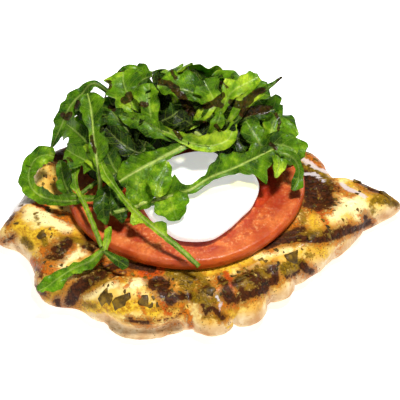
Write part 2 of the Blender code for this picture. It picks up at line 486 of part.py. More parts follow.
def object_from(bm, name):
    """An object in the scene with this mesh, scaled from millimetres to metres and facing outwards."""
    bmesh.ops.recalc_face_normals(bm, faces=bm.faces)
    bmesh.ops.scale(bm, vec=(MM, MM, MM), verts=bm.verts)
    mesh = bpy.data.meshes.new(name)
    bm.to_mesh(mesh)
    bm.free()
    made = bpy.data.objects.new(name, mesh)
    bpy.context.scene.collection.objects.link(made)
    return made


def solid_from_rings(name, rings, flat_bottom=False):
    """A closed solid through rings of points: the first is its underside's, and both ends are closed."""
    bm = bmesh.new()
    loops = [[bm.verts.new(point) for point in ring] for ring in rings]
    count = len(loops[0])
    for low, high in zip(loops, loops[1:]):
        for k in range(count):
            bm.faces.new((low[k], low[(k + 1) % count], high[(k + 1) % count], high[k]))
    for loop, flat in ((loops[0], flat_bottom), (loops[-1], False)):
        cap = bm.faces.new(loop)
        if not flat:
            bmesh.ops.poke(bm, faces=[cap])
    return object_from(bm, name)


def leaf_solid(name, leaf):
    """One leaf as a thin wavy solid whose two faces are split alike."""
    upper, lower = leaf_rows(leaf, np.array([share for share, *_ in leaf.outline]), columns=3)
    rows, columns = upper.shape[:2]
    bm = bmesh.new()
    top = [[bm.verts.new(p) for p in row] for row in upper]
    bottom = [[bm.verts.new(p) for p in row] for row in lower]
    for i in range(rows - 1):
        for j in range(columns - 1):
            for grid in (top, bottom):
                a, b, c, d = grid[i][j], grid[i][j + 1], grid[i + 1][j + 1], grid[i + 1][j]
                halves = ((a, b, c), (a, c, d)) if j else ((a, b, d), (b, c, d))
                for half in halves:
                    bm.faces.new(half)
    rim = [(i, 0) for i in range(rows)] + [(rows - 1, j) for j in range(1, columns)]
    rim += [(i, columns - 1) for i in range(rows - 2, -1, -1)] + [(0, j) for j in range(columns - 2, 0, -1)]
    for (i, j), (m, n) in zip(rim, rim[1:] + rim[:1]):
        bm.faces.new((top[i][j], top[m][n], bottom[m][n], bottom[i][j]))
    return object_from(bm, name)


def herb_solid(name, x, y, length, width, turn):
    """A flat chopped piece that follows the meat under its corners."""
    c, s = math.cos(math.radians(turn)), math.sin(math.radians(turn))
    bm = bmesh.new()
    rings = []
    for rise, size in ((-HERB_ROOT, 1.0), (HERB_RISE, 0.85)):
        ring = []
        for u, v in ((-1, -0.8), (1, -1), (0.9, 1), (-1, 0.9)):
            px = x + 0.5 * size * (u * length * c - v * width * s)
            py = y + 0.5 * size * (u * length * s + v * width * c)
            ring.append(bm.verts.new((px, py, float(breast_surface(px, py)) + rise)))
        rings.append(ring)
    low, high = rings
    for k in range(4):
        bm.faces.new((low[k], low[(k + 1) % 4], high[(k + 1) % 4], high[k]))
    for a, b, c, d in rings:
        bm.faces.new((a, b, c))
        bm.faces.new((a, c, d))
    return object_from(bm, name)


def fuse(base, others):
    """Joins the others to base with one Boolean union, and keeps only the outer skin of the largest body."""
    group = bpy.data.collections.new("pieces to fuse")
    for other in others:
        group.objects.link(other)
    union = base.modifiers.new("union", "BOOLEAN")
    union.operation = "UNION"
    union.solver = "MANIFOLD"
    union.operand_type = "COLLECTION"
    union.collection = group
    graph = bpy.context.evaluated_depsgraph_get()
    fused = bpy.data.meshes.new_from_object(base.evaluated_get(graph))
    base.modifiers.remove(union)
    base.data = fused
    for other in others:
        bpy.data.objects.remove(other)
    bpy.data.collections.remove(group)
    keep_largest_shell(fused)
    return base


def keep_largest_shell(mesh):
    """Drops loose scraps and the skins of sealed hollows."""
    bm = bmesh.new()
    bm.from_mesh(mesh)
    unseen = set(bm.faces)
    shells = []
    while unseen:
        shell, border = set(), [unseen.pop()]
        while border:
            face = border.pop()
            shell.add(face)
            near = {other for edge in face.edges for other in edge.link_faces} & unseen
            unseen -= near
            border.extend(near)
        shells.append(shell)
    shells.sort(key=len)
    for shell in shells[:-1]:
        bmesh.ops.delete(bm, geom=list(shell), context="FACES")
    bm.to_mesh(mesh)
    bm.free()


def finish(made, name, colour, roughness, smooth_angle=50):
    """Gives a piece its material and smooth shading."""
    material = bpy.data.materials.new(name)
    material.use_nodes = True
    shader = material.node_tree.nodes["Principled BSDF"]
    shader.inputs["Base Color"].default_value = (*colour, 1.0)
    shader.inputs["Roughness"].default_value = roughness
    shader.inputs["Metallic"].default_value = 0.0
    made.data.materials.clear()
    made.data.materials.append(material)
    made.data.shade_smooth()
    made.data.set_sharp_from_angle(angle=math.radians(smooth_angle))


def centre_over_origin(objects):
    """Moves all pieces together so that the middle of their box lies over the origin."""
    corners = np.array([vert.co for made in objects for vert in made.data.vertices])
    shift = -(corners.min(axis=0) + corners.max(axis=0)) / 2
    for made in objects:
        made.location = (shift[0], shift[1], 0.0)


def main():
    for old in list(bpy.data.objects):
        bpy.data.objects.remove(old)
    breast = solid_from_rings(
        "chicken_breast", breast_rings(BREAST_SPOKES, BREAST_EDGE_STEPS, BREAST_TOP_RINGS), flat_bottom=True
    )
    fuse(breast, [herb_solid(f"herb {k}", *herb) for k, herb in enumerate(HERBS)])
    tomato = solid_from_rings(
        "tomato_slice",
        slice_rings(TOMATO_HEART, tomato_radius, tomato_under, TOMATO_THICK, TOMATO_EDGE, SLICE_SPOKES),
    )
    mozzarella = solid_from_rings(
        "mozzarella_slice",
        slice_rings(
            MOZZARELLA_HEART, mozzarella_radius, mozzarella_under, MOZZARELLA_THICK, MOZZARELLA_EDGE, SLICE_SPOKES,
            crown=MOZZARELLA_CROWN,
        ),
    )  # fmt: skip
    core = solid_from_rings("rocket_heap", core_rings(CORE_SPOKES))
    leaves = [leaf_solid(f"leaf {k}", rooted(leaf)) for k, leaf in enumerate(LEAVES + filler_leaves())]
    rocket = fuse(core, leaves)
    finish(breast, "grilled chicken", (0.60, 0.38, 0.12), 0.45)
    finish(tomato, "tomato", (0.55, 0.10, 0.02), 0.25)
    finish(mozzarella, "mozzarella", (0.86, 0.85, 0.80), 0.4)
    finish(rocket, "rocket", (0.10, 0.22, 0.02), 0.45)
    centre_over_origin([breast, tomato, mozzarella, rocket])


main()
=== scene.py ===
"""The looks of a burger served without bread: grilled chicken breast, a tomato slice, a mozzarella slice and rocket.

Sizes and places are in millimetres in the part's working frame, +Z up and -Y to the front; meshes are made in metres.
Places called photo pixels lie in the photograph's 400 x 400 frame and are laid onto the surface that shows there.
"""

import math
import random
from collections import namedtuple
from itertools import product

import bpy
import numpy as np
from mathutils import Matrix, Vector


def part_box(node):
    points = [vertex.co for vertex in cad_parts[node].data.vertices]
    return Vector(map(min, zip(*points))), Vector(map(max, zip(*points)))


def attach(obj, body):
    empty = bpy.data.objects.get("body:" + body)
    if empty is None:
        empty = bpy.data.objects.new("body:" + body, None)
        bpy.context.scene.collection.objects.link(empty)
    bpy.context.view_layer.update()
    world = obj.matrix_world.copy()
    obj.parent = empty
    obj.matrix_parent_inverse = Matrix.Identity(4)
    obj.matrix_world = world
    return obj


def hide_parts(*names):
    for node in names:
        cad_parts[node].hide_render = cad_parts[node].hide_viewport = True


MM = 0.001
GAP = 0.3  # left between pieces that lie on each other
CORE_GAP, LEAF_GAP = 2 * GAP, 3 * GAP  # left under the heap's core and under its leaves
STEP_REACH, STEP_EASE = 7.0, 5.5  # how far past a slice's edge a leaf begins to rise over it, and over what width

# The camera, in the working frame
VIEW_TARGET = np.array([0.0, -12.0, 12.0])
VIEW_ELEVATION = math.radians(45)
VIEW_DISTANCE = 1000.0
VIEW_WIDTH = 165.0  # what the frame's width takes in at the target
PHOTO_SIDE = 400
SENSOR = 36.0
FLOOR_DROP = 0.3  # how far the stage's floor lies below the breast

# Chicken breast. The outline is what a plan shows, anticlockwise from the right tip.
BREAST_HEART = (-4.0, -26.0)
BREAST_OUTLINE = [
    (81, -10), (76, -15), (69.5, -20), (62, -28), (53, -40.5), (43, -47), (33, -58), (21, -70), (7, -77),
    (-3, -77), (-14, -79), (-28, -79), (-39, -73), (-48, -65), (-59.5, -63), (-66, -56), (-67, -43),
    (-73, -34), (-81, -30), (-81, -25), (-76, -14.5), (-71.5, -3), (-68.5, 7), (-62, 17), (-51, 24), (-38, 29.5),
    (-20, 37), (7, 40.5), (25, 33), (35, 24), (50, 14), (56, 2), (66, -0.5), (74.5, -5),
]  # fmt: skip
BREAST_THICK = 18.0
BREAST_TIP_DROP = 5.0  # how much thinner it is at the left and right tips
BREAST_FRONT_DROP = 2.5
BREAST_EDGE = 11.0  # width of the rounded edge in plan
BREAST_WAIST = 7.0  # height of the widest line of the edge
BREAST_SPAN = (81.0, 57.0)  # half sizes over which the top falls off
EDGE_POWER = 0.85  # under 1 makes the rounded edge fuller than a circle
# Muscle lobes on the top: x, y, long radius, short radius, turn in degrees, height.
LOBES = [
    (-33, -66, 30, 10, -6, 3.4),
    (14, -66, 20, 9, 28, 3.0),
    (44, -38, 24, 8, 36, 2.2),
    (61, -14, 13, 8, 8, 2.8),
    (-66, -26, 12, 13, 0, 2.0),
    (-58, -47, 8, 5, 35, 2.6),
    (-63, -55, 6, 5, 35, 1.5),
    (50, 4, 12, 7, -35, 2.0),
    (-62, 5, 13, 9, 40, 4.5),
]
# Creases between the lobes: two ends in plan, width, depth.
CREASES = [
    ((-74, -43), (-46, -50), 3.5, 3.5),
    ((-3, -84), (-5, -64), 2.6, 5.0),
    ((32, -68), (27, -56), 2.6, 4.0),
    ((45, -56), (38, -46), 2.6, 3.0),
    ((68, -27), (58, -17), 3.0, 2.5),
    ((60, 6), (52, -4), 3.0, 2.5),
]
# Rounded lumps low on the edge: direction from the heart in degrees, half width in degrees, bulge.
KNUCKLES = [
    (-79.5, 9.0, 4.0), (-61.0, 8.5, 4.5), (-40.0, 7.0, 3.5), (-24.5, 8.0, 3.0), (-4.0, 7.0, 2.5), (8.5, 4.0, 3.0),
    (-112.0, 12.0, 3.0), (-139.0, 12.0, 2.0), (-171.0, 10.0, 2.0),
]  # fmt: skip
FOLD_FROM, FOLD_TO = -129.0, -92.0  # the stretch of the edge where an upper lobe overhangs a lower layer
FOLD_DEPTH = 3.6
# Chopped herbs that lie on the breast: x, y, length, width, turn in degrees.
HERBS = [
    (-31, -73, 7, 3.6, 8), (-36, -71, 3, 3, 40), (-22, -73.6, 4.2, 3.2, -15), (-38, -70, 4, 3.6, 20),
    (-58.5, -62, 4.5, 2.6, -60), (45, -38.5, 3.6, 3.2, 10), (37, -48, 6, 3.6, 25), (76.5, -10, 5, 3, -50),
    (-64, -36, 4, 3, 30), (4, -70, 4, 3.4, -30), (16, -63, 4.4, 3, 35), (65, -3.5, 3.4, 3, 15),
]  # fmt: skip
HERB_RISE = 0.8
# Smaller flecks of herb, strewn at random.
FLECKS, FLECK_SEED, FLECK_RISE = 170, 8, 0.35

# Tomato slice
TOMATO_HEART = (-6.0, -9.5)
TOMATO_RADIUS = 48.5
TOMATO_THICK = 5.0
TOMATO_EDGE = 1.8
TOMATO_SPOKES = 40  # round the slice in the CAD model

# Mozzarella slice: radius by direction, in degrees, anticlockwise from +X.
MOZZARELLA_HEART = (-1.0, -22.5)
MOZZARELLA_RADII = [
    (-149, 23.5), (-123, 24.5), (-105, 26.5), (-80, 26), (-60, 23.5), (-36, 22), (-13, 23.5), (15, 25.5),
    (50, 24.5), (90, 23), (135, 22.5), (175, 24),
]  # fmt: skip
MOZZARELLA_THICK = 6.5
MOZZARELLA_EDGE = 3.0
MOZZARELLA_CROWN = 1.0

# Rocket: the heap's own middle and half sizes, its packed core, and the leaves.
HEAP_HEART = (-8.0, 9.0, 20.0)
HEAP_HALF = (46.0, 33.0, 33.5)
CORE_HEART = (-12.0, 14.0)
CORE_OUTLINE = [
    (38, 8), (33, -3), (21, -1), (8, 1), (-6, 0), (-17, -3), (-25, -11), (-35, -20), (-46, -21), (-53, -12),
    (-54, 1), (-48, 13), (-38, 25), (-22, 33), (-4, 36), (14, 33), (29, 23),
]  # fmt: skip
CORE_HEIGHT = 25.0
CORE_SHARE = 0.8  # how large the core is shown, so that the leaves around it show
ROOT_REACH, ROOT_DEPTH = 13.0, 2.5  # how far outside the core a stalk is led back to it, and how deep into it
ROOT_SHARE = 0.88  # the share of the core's radius that a stalk is led to
# Added to the heap's own outward direction, to turn the blades of its front and of its back to the light.
OUTLOOK_FRONT, OUTLOOK_BACK = np.array([0.0, -1.4, 1.4]), np.array([0.0, 0.3, 0.4])
# A leaf's path is its midrib from the stalk's end to the tip. Its outline gives, by share of the path's points, how
# far the blade reaches to the left and to the right, seen from outside the heap. Roll is in degrees; fold is a slope.
# Tone runs from 0, dark green, to 1, lime; rib is how much the midrib stands out.
Leaf = namedtuple("Leaf", "path outline roll fold tone rib", defaults=(0.5, 0.45))
PLAIN = [(0, 0.8, 0.8), (0.2, 1, 1), (0.4, 3.4, 3.4), (0.65, 4, 4), (0.87, 2.8, 2.8), (1, 0.5, 0.5)]
LOBED = [
    (0, 0.8, 0.8), (0.14, 0.9, 0.9), (0.26, 4, 3), (0.36, 1.5, 1.6), (0.46, 4.5, 5.6), (0.56, 1.9, 2.2),
    (0.7, 5.4, 5.2), (0.88, 4.2, 4.2), (1, 0.8, 0.8),
]  # fmt: skip
JAGGED = [
    (0, 0.8, 0.8), (0.14, 1, 1), (0.24, 4.2, 1.2), (0.31, 1.3, 4.6), (0.39, 5.4, 1.5), (0.47, 1.6, 6),
    (0.56, 6.6, 2), (0.65, 2.4, 6), (0.75, 5.8, 3.6), (0.88, 3.8, 4.2), (1, 0.5, 0.5),
]  # fmt: skip
# Leaves that can be told apart, and a few that stand for what is seen between them.
LEAVES = [
    # the left end: a long arched leaf, a curled one, and what lies between them
    Leaf([(-27, 12, 36), (-42, 19, 48), (-48.7, 16.3, 45), (-53.6, 12.7, 41), (-57.3, 9.6, 33), (-61.5, 5.3, 25)],
         [(0, 0.8, 0.8), (0.2, 1.2, 1.2), (0.4, 3.8, 3.2), (0.6, 4.8, 4), (0.8, 3.6, 3.4), (1, 0.4, 0.4)],
         10, 0.1, 0.4),
    Leaf([(-39.6, -24.7, 27), (-47.4, -24.4, 25), (-55.3, -23.6, 23), (-62.7, -20.3, 21.5), (-67.7, -15.7, 21),
          (-70.1, -10.3, 22), (-69.7, -5.8, 24.5), (-66.8, -3, 27.5), (-62.7, -2.2, 28.5), (-59.8, -2.9, 28)],
         [(0, 0.9, 0.9), (0.1, 1.4, 1.6), (0.2, 2.2, 3.4), (0.27, 2, 2), (0.36, 3.2, 4.4), (0.45, 3.4, 2.4),
          (0.55, 4.8, 3), (0.65, 3.2, 3), (0.76, 3.4, 4.4), (0.87, 4.2, 3.4), (0.95, 3.6, 3.4), (1, 1.8, 2.2)],
         -8, 0.1, 0.55),
    Leaf([(-50.3, -23.7, 26), (-54.5, -17.4, 25), (-56.1, -10.8, 26), (-57.3, -5.2, 28)],
         [(0, 1, 1), (0.3, 3, 4), (0.6, 2.8, 4.6), (0.85, 2.4, 3.6), (1, 0.6, 0.6)], -5, 0.2, 0.45),
    Leaf([(-39.6, -25.7, 28), (-40.4, -20.3, 32), (-41.7, -14.7, 38), (-42.9, -8, 43), (-43.7, -0.3, 47),
          (-44.6, 5.4, 50), (-45.8, 10.3, 51)],
         [(0, 0.9, 0.9), (0.17, 1, 1), (0.3, 1.2, 1.2), (0.38, 2, 5.5), (0.46, 2.4, 6.5), (0.55, 1.6, 2.4),
          (0.66, 3.6, 4.4), (0.78, 4.6, 6.2), (0.9, 3.8, 5.4), (0.97, 2.6, 3), (1, 1, 1)], 0, 0.15, 0.5, 1.1),
    Leaf([(-41.3, -10.7, 37), (-46.2, -5.2, 39), (-51.2, 0.8, 39.5), (-54.5, 5.8, 38)],
         [(0, 0.9, 0.9), (0.2, 2, 2), (0.45, 6.5, 4.5), (0.62, 4, 3.4), (0.82, 7, 5), (0.93, 5, 3.6), (1, 1.5, 1.5)],
         0, 0.15, 0.42),
    Leaf([(-32, 2, 40), (-43, 8, 44), (-51, 10, 42)], LOBED, 10, 0.3, 0.3),
    Leaf([(-39.6, -16.3, 35), (-45.4, -13.3, 35.5), (-50.3, -10.3, 36), (-54.5, -5.8, 35)],
         [(0, 0.8, 0.8), (0.14, 1.4, 1.2), (0.3, 5, 3.6), (0.42, 2.6, 2.6), (0.6, 6, 5), (0.75, 3.4, 3), (0.9, 4, 4),
          (1, 0.8, 0.8)], 0, 0.2, 0.45),
    Leaf([(-31.4, -25.2, 31), (-34.7, -18.4, 33), (-36.3, -12.7, 36), (-36.3, -8.5, 40)],
         [(0, 1, 1), (0.2, 2.4, 3), (0.42, 5, 3.4), (0.56, 2.6, 3), (0.74, 4.6, 4.4), (0.9, 3, 3), (1, 0.8, 0.8)],
         0, 0.2, 0.3),
    # the front left: two stems, the leaf that lies on the breast, and small leaflets
    Leaf([(-38.8, -51.8, 25), (-41.3, -44.1, 26), (-43.7, -37, 26.5), (-46.6, -28.8, 27), (-49.5, -22.2, 28),
          (-50.7, -16.7, 29.5), (-50.3, -9.8, 32), (-49.1, -4.8, 34)],
         [(0, 1, 1), (0.3, 1.1, 1.1), (0.55, 1, 1), (0.62, 2.4, 1), (0.7, 1, 1.2), (0.85, 2.2, 2.6), (1, 0.8, 0.8)],
         0, 0.2, 0.65, 0.7),
    Leaf([(-38.4, -53, 25), (-43.3, -56.8, 23), (-47.9, -58.3, 21.5), (-52, -60.2, 20.5), (-56.1, -62.8, 19),
          (-60.2, -65.4, 17), (-63.5, -67, 14.5)],
         [(0, 0.9, 0.9), (0.1, 2.2, 1.6), (0.2, 3.4, 1.8), (0.3, 2.4, 1.4), (0.38, 2.8, 2.2), (0.48, 1.9, 1.8),
          (0.6, 3.4, 2.6), (0.72, 4.6, 3.2), (0.85, 4, 3.8), (0.94, 3.2, 3), (1, 1.2, 1.2)], 0, 0.05, 0.6),
    Leaf([(-0.4, -61, 24), (-8.3, -55, 28.2), (-16.5, -48.7, 31.4), (-23.1, -41.5, 31.8), (-29.7, -33.8, 33.4),
          (-35, -26.7, 36), (-38.2, -21.4, 37.2), (-40.6, -13, 37.5)],
         [(0, 1, 1), (0.14, 1.2, 1.2), (0.24, 1.3, 1.3), (0.28, 1.3, 5.4), (0.33, 1.3, 1.6), (0.4, 1.3, 1.2),
          (0.44, 5.4, 1.2), (0.49, 1.6, 1.2), (0.66, 1.1, 1.1), (0.78, 2.4, 2), (0.9, 1.6, 1.6), (1, 0.8, 0.8)],
         0, 0.1, 0.65, 0.75),
    Leaf([(-38, -54.2, 25), (-36.7, -48.7, 26.5), (-35.9, -42.2, 27)],
         [(0, 0.8, 0.8), (0.4, 1.6, 1.4), (0.8, 1.8, 1.2), (1, 0.5, 0.5)], 0, 0.2, 0.7),
    Leaf([(-38, -53.6, 25), (-34.2, -57.1, 25), (-30.9, -59.5, 24.5), (-28.5, -60.3, 23)],
         [(0, 0.8, 0.8), (0.35, 1.6, 1.8), (0.6, 2.4, 2.2), (0.85, 2.4, 2), (1, 0.8, 0.8)], 0, 0.1, 0.45),
    Leaf([(-34, -19, 33), (-38.8, -29, 29), (-37.5, -41, 27)], PLAIN, 0, 0.2, 0.25, 0.15),
    Leaf([(-34, -18, 33), (-33, -31, 29.5), (-31, -41, 28)], PLAIN, 20, 0.3, 0.2, 0.15),
    # over the mozzarella
    Leaf([(-35.9, -36.6, 29), (-24.8, -34.5, 31), (-14.4, -32.3, 33.5), (-4.1, -29.2, 35), (4, -23.7, 36.5),
          (12.4, -19.8, 37.3), (20.6, -14.9, 37.8), (29.7, -8.8, 38)],
         [(0, 1, 1), (0.14, 1.2, 1.2), (0.24, 1.3, 2.2), (0.28, 1.5, 2), (0.33, 4, 1.6), (0.37, 8.5, 1.5),
          (0.4, 3, 1.5), (0.44, 1.8, 2), (0.55, 2, 1.8), (0.61, 5.4, 1.6), (0.68, 7.6, 1.8), (0.76, 6, 3),
          (0.83, 4, 6), (0.88, 3.6, 12.5), (0.92, 3.4, 7), (0.97, 3, 4.5), (1, 1.4, 1.4)], 0, 0.1, 0.5, 1.2),
    Leaf([(-12.6, -30.6, 33.5), (-11.4, -35.3, 33.2), (-10.3, -39.4, 32.4), (-9.1, -43.4, 31)],
         [(0, 3, 3), (0.2, 7.4, 6.6), (0.45, 7, 8), (0.7, 5.6, 6), (0.9, 3.4, 3.6), (1, 1.2, 1.2)],
         0, 0.05, 0.6, 0.1),
    Leaf([(-17.3, -34, 35.8), (-16.1, -29.5, 38), (-14.9, -24.6, 39.8), (-13.2, -19.8, 41.6)],
         [(0, 1.6, 1.6), (0.25, 4.8, 4.6), (0.5, 5.4, 4.6), (0.75, 4.2, 3.6), (0.92, 2, 2), (1, 0.8, 0.8)],
         0, 0.1, 0.68, 0.15),
    Leaf([(0, -7.4, 43), (-6.2, -11.1, 42), (-16.5, -16.7, 40), (-24.8, -21.1, 38), (-32.6, -24.5, 35)],
         [(0, 1.3, 1.3), (0.2, 1.5, 1.8), (0.38, 1.6, 3), (0.48, 2.4, 4), (0.58, 6, 5), (0.7, 9, 6.4),
          (0.85, 8, 6.4), (0.95, 5, 4), (1, 2, 2)], 0, 0.15, 0.5, 1.6),
    Leaf([(-21.5, -1.7, 46), (-12.4, -7, 45), (-4.1, -10.8, 43.5), (4.1, -11.6, 42.5), (11.5, -8.5, 43.5),
          (14, -1.5, 46.5)],
         [(0, 1.2, 1.2), (0.2, 2, 1.5), (0.35, 3.2, 1.6), (0.5, 4, 2.6), (0.62, 5.4, 2.6), (0.76, 5, 3),
          (0.88, 2.8, 2.2), (1, 1, 1)], 0, 0.3, 0.78, 0.9),
    # the right end
    Leaf([(14, -2, 46), (20.6, 4.6, 52), (26.8, 8, 55), (33.4, 12.6, 58)],
         [(0, 0.9, 0.9), (0.3, 1.6, 1.1), (0.6, 1.8, 1.1), (1, 0.4, 0.4)], 20, 0.5, 0.4),
    Leaf([(12, 0, 46), (17, 3.5, 51), (23, 7, 54), (28.5, 11, 55)],
         [(0, 0.9, 0.9), (0.35, 3.2, 2.6), (0.6, 2.8, 2.4), (0.85, 2, 2), (1, 0.5, 0.5)], 0, 0.3, 0.7),
    Leaf([(6, 1, 45), (12.4, 7, 54), (17.7, 9.5, 56.5), (24, 12.8, 58)],
         [(0, 0.9, 0.9), (0.25, 2.4, 2.4), (0.42, 6.4, 3.4), (0.55, 3, 3), (0.7, 3.6, 3.4), (0.88, 4, 3.6),
          (1, 1.6, 1.6)], 0, 0.1, 0.75),
    Leaf([(12, 0, 42), (20.6, 2.6, 46), (25.6, 3.6, 46.6), (30.5, 5.2, 47)],
         [(0, 0.9, 0.9), (0.35, 2.6, 2.5), (0.7, 3, 3), (0.9, 2, 2), (1, 0.5, 0.5)], 0, 0.2, 0.2),
    Leaf([(24, -8, 37), (28, -5, 40), (29.7, 0.8, 43), (32.2, 5.2, 45)],
         [(0, 0.9, 0.9), (0.35, 3.4, 3), (0.6, 4.4, 4.2), (0.85, 3.4, 3.6), (1, 1, 1)], 0, 0.15, 0.55),
    Leaf([(22, -6, 38), (30, -6.5, 38.5), (36, -7, 37.5), (39.5, -9, 36)],
         [(0, 0.9, 0.9), (0.3, 5, 3.4), (0.6, 5.6, 5), (0.85, 3.4, 4.4), (1, 1, 1)], 0, 0.2, 0.45),
    Leaf([(31.4, -9.2, 36), (31.8, -14.1, 34.5), (30.5, -20.2, 33)],
         [(0, 2, 2), (0.35, 4, 3.2), (0.7, 2.6, 2.2), (1, 0.6, 0.6)], 0, 0.15, 0.7),
    Leaf([(29, -9, 36.5), (36, -10.5, 36), (39.5, -12.5, 33), (40, -16, 29.5), (37.5, -21.5, 27)],
         [(0, 1, 1), (0.3, 2.2, 2), (0.55, 1.8, 1.6), (0.75, 2, 2), (0.9, 2.8, 2.6), (1, 0.8, 0.8)], 0, 0.2, 0.5),
    Leaf([(26, -11, 38), (22.7, -6, 42), (18.6, 0.5, 45)],
         [(0, 1, 1), (0.25, 5.5, 4), (0.4, 3, 2.4), (0.6, 5.6, 5), (0.85, 4, 4), (1, 1, 1)], 0, 0.2, 0.4),
    Leaf([(3, -5, 41), (6.5, -4, 46.5), (8.5, 1, 50)],
         [(0, 1, 1), (0.3, 2.2, 2.4), (0.6, 2.8, 2.8), (0.85, 2, 2), (1, 0.4, 0.4)], 0, 0.3, 0.6),
    # inside the front, only in this script
    Leaf([(-24, -20, 36.4), (-24.4, -25.6, 34.6), (-22.7, -31.8, 33), (-20.6, -36.6, 31.8)],
         [(0, 3, 3), (0.3, 6, 6), (0.6, 6.4, 6), (0.85, 4.6, 4), (1, 1.2, 1.2)], 0, 0.05, 0.6, 0.1),
    Leaf([(-12.4, -2, 40.5), (-4.1, -1.5, 44.5), (2, 1.5, 48), (6.2, 4.5, 49.5)],
         [(0, 0.9, 0.9), (0.3, 2.2, 2), (0.6, 2.8, 2.4), (0.85, 2.2, 1.8), (1, 0.6, 0.6)], 0, 0.1, 0.9, 0.3),
    Leaf([(-18, 1, 43), (-11, 1.5, 47), (-6, 5, 50)],
         [(0, 1, 1), (0.25, 4, 3), (0.45, 3, 4.6), (0.7, 5, 4.6), (0.9, 3.4, 3), (1, 1, 1)], 0, 0.25, 0.25),
    Leaf([(-6, 2, 44), (-1, 5, 49), (3, 8, 51.5)],
         [(0, 1, 1), (0.3, 4, 4.4), (0.6, 5.4, 5), (0.85, 3.6, 3.6), (1, 1, 1)], 0, 0.2, 0.4),
    Leaf([(-38, -17, 34), (-43, -12.5, 36.5), (-47, -7, 38.5)],
         [(0, 1, 1), (0.25, 3.4, 3), (0.5, 3, 4.4), (0.75, 4.2, 3.4), (1, 0.8, 0.8)], 0, 0.2, 0.7, 0.3),
    Leaf([(-33, -18, 33.5), (-36, -15, 37), (-38, -10, 41), (-37.5, -5, 44.5)],
         [(0, 1, 1), (0.2, 4, 3.4), (0.42, 3, 5.6), (0.62, 5.6, 4), (0.85, 4, 4.4), (1, 1, 1)], 0, 0.2, 0.45),
    Leaf([(-28, -4, 42), (-33, 0, 46), (-36, 3, 48.5)],
         [(0, 1, 1), (0.25, 3.4, 4), (0.5, 5, 3.4), (0.75, 3.8, 4.6), (1, 1, 1)], 0, 0.25, 0.35),
    # the top
    Leaf([(6.2, 6.5, 50), (-4.1, 7, 55), (-11.5, 8.5, 56), (-17.3, 10, 56)],
         [(0, 1.5, 1.5), (0.2, 4, 5), (0.33, 3, 7.6), (0.48, 5, 9), (0.6, 3, 5.5), (0.73, 4, 8), (0.87, 3, 4),
          (1, 1, 1)], 0, 0.1, 0.45),
    Leaf([(-10, 5, 50), (-11, 11, 55.5), (-13, 15.5, 58)],
         [(0, 1, 1), (0.4, 2, 2), (0.7, 1.6, 1.6), (1, 0.4, 0.4)], 0, 0.4, 0.5),
    Leaf([(8, 3, 46), (4, 8, 54), (1.5, 12, 57)],
         [(0, 0.8, 0.8), (0.2, 3, 3), (0.36, 6, 4.6), (0.5, 4, 3.4), (0.66, 7, 5.4), (0.84, 5, 5.2), (1, 1.2, 1.2)],
         0, 0.15, 0.6),
    Leaf([(-24.5, -1.2, 44.4), (-28.6, 6.3, 51), (-31, 12, 55), (-31.4, 17.5, 57)],
         [(0, 1.2, 1.2), (0.18, 3, 3), (0.32, 7, 3.4), (0.44, 5, 5.2), (0.57, 8.6, 5), (0.68, 6, 8.6),
          (0.78, 7.4, 7.4), (0.88, 5.4, 8.4), (0.96, 3.4, 6), (1, 1.4, 2.4)], 0, 0.1, 0.6),
    Leaf([(-19, -4, 44), (-20.6, 3.4, 51.5), (-20.6, 12, 55)],
         [(0, 1, 1), (0.25, 3.6, 3), (0.45, 3.4, 4.4), (0.65, 6, 4), (0.87, 5.2, 3.4), (1, 1, 1)], 0, 0.2, 0.55),
    Leaf([(-10.3, -8, 42.6), (-20.6, -3.2, 46.6), (-33, 1, 48)],
         [(0, 1, 1), (0.2, 2.4, 2), (0.42, 5.4, 3), (0.6, 4.2, 3), (0.85, 3.4, 2), (1, 0.6, 0.6)], 0, 0.3, 0.5),
    Leaf([(-24, -13, 40), (-32, -10, 43), (-38, -3.5, 45)],
         [(0, 1, 1), (0.3, 4, 3.4), (0.55, 3, 4.4), (0.85, 3.6, 3.2), (1, 1, 1)], 0, 0.4, 0.05),
]  # fmt: skip
# Leaves that only fill the heap, spread over its top, sides and back by the golden angle.
FILLERS = 22
FILLER_SEED = 11
FILLER_TOP = 74.0  # the most that height and distance to the back may add up to
GOLDEN_ANGLE = math.pi * (3 - math.sqrt(5))
# Leaves deeper in the heap, which fill the gaps between the others all round; their darker tones are painted shade.
INNER_LEAVES = 130
INNER_SEED = 4
# Where the heap is open in front and the mozzarella shows, in photo pixels: middle and half sizes.
WINDOW, WINDOW_HALF = (187, 168), (32, 24)
WINDOW_BACK = 8  # only leaves in front of this y could hide it

# Leaf detail
LEAF_STATIONS = 52
LEAF_COLUMNS = (-1, -0.86, -0.7, -0.52, -0.34, -0.18, -0.07, 0, 0.07, 0.18, 0.34, 0.52, 0.7, 0.86, 1)
INNER_STATIONS = 36
INNER_COLUMNS = (-1, -0.8, -0.5, -0.2, -0.08, 0, 0.08, 0.2, 0.5, 0.8, 1)
DEPTH_SHADE = 0.6  # how much darker a leaf is painted deep in the heap, as shade
BLADE_HALF = 0.16  # half the blade's thickness
BLADE_FROM, BLADE_OVER = 1.3, 1.5  # the half width at which a stalk turns into a blade, and over how much more
MARGIN_WAVE, MARGIN_TEETH = 0.06, 0.05  # how far the margin swings and is toothed, as shares of the half width
RIPPLE, RIPPLE_FINE = 1.15, 0.35  # how high the margin ripples
RIB_STALK, RIB_TIP = 0.95, 0.28  # half the midrib's thickness at the stalk and at the tip
RIB_LEAST = 0.8  # the least half width of a leaf, where only its stalk is left
REST_REACH, REST_EASE = 0.6, 0.4  # how near a leaf comes to what is under it before it is eased off, and how softly

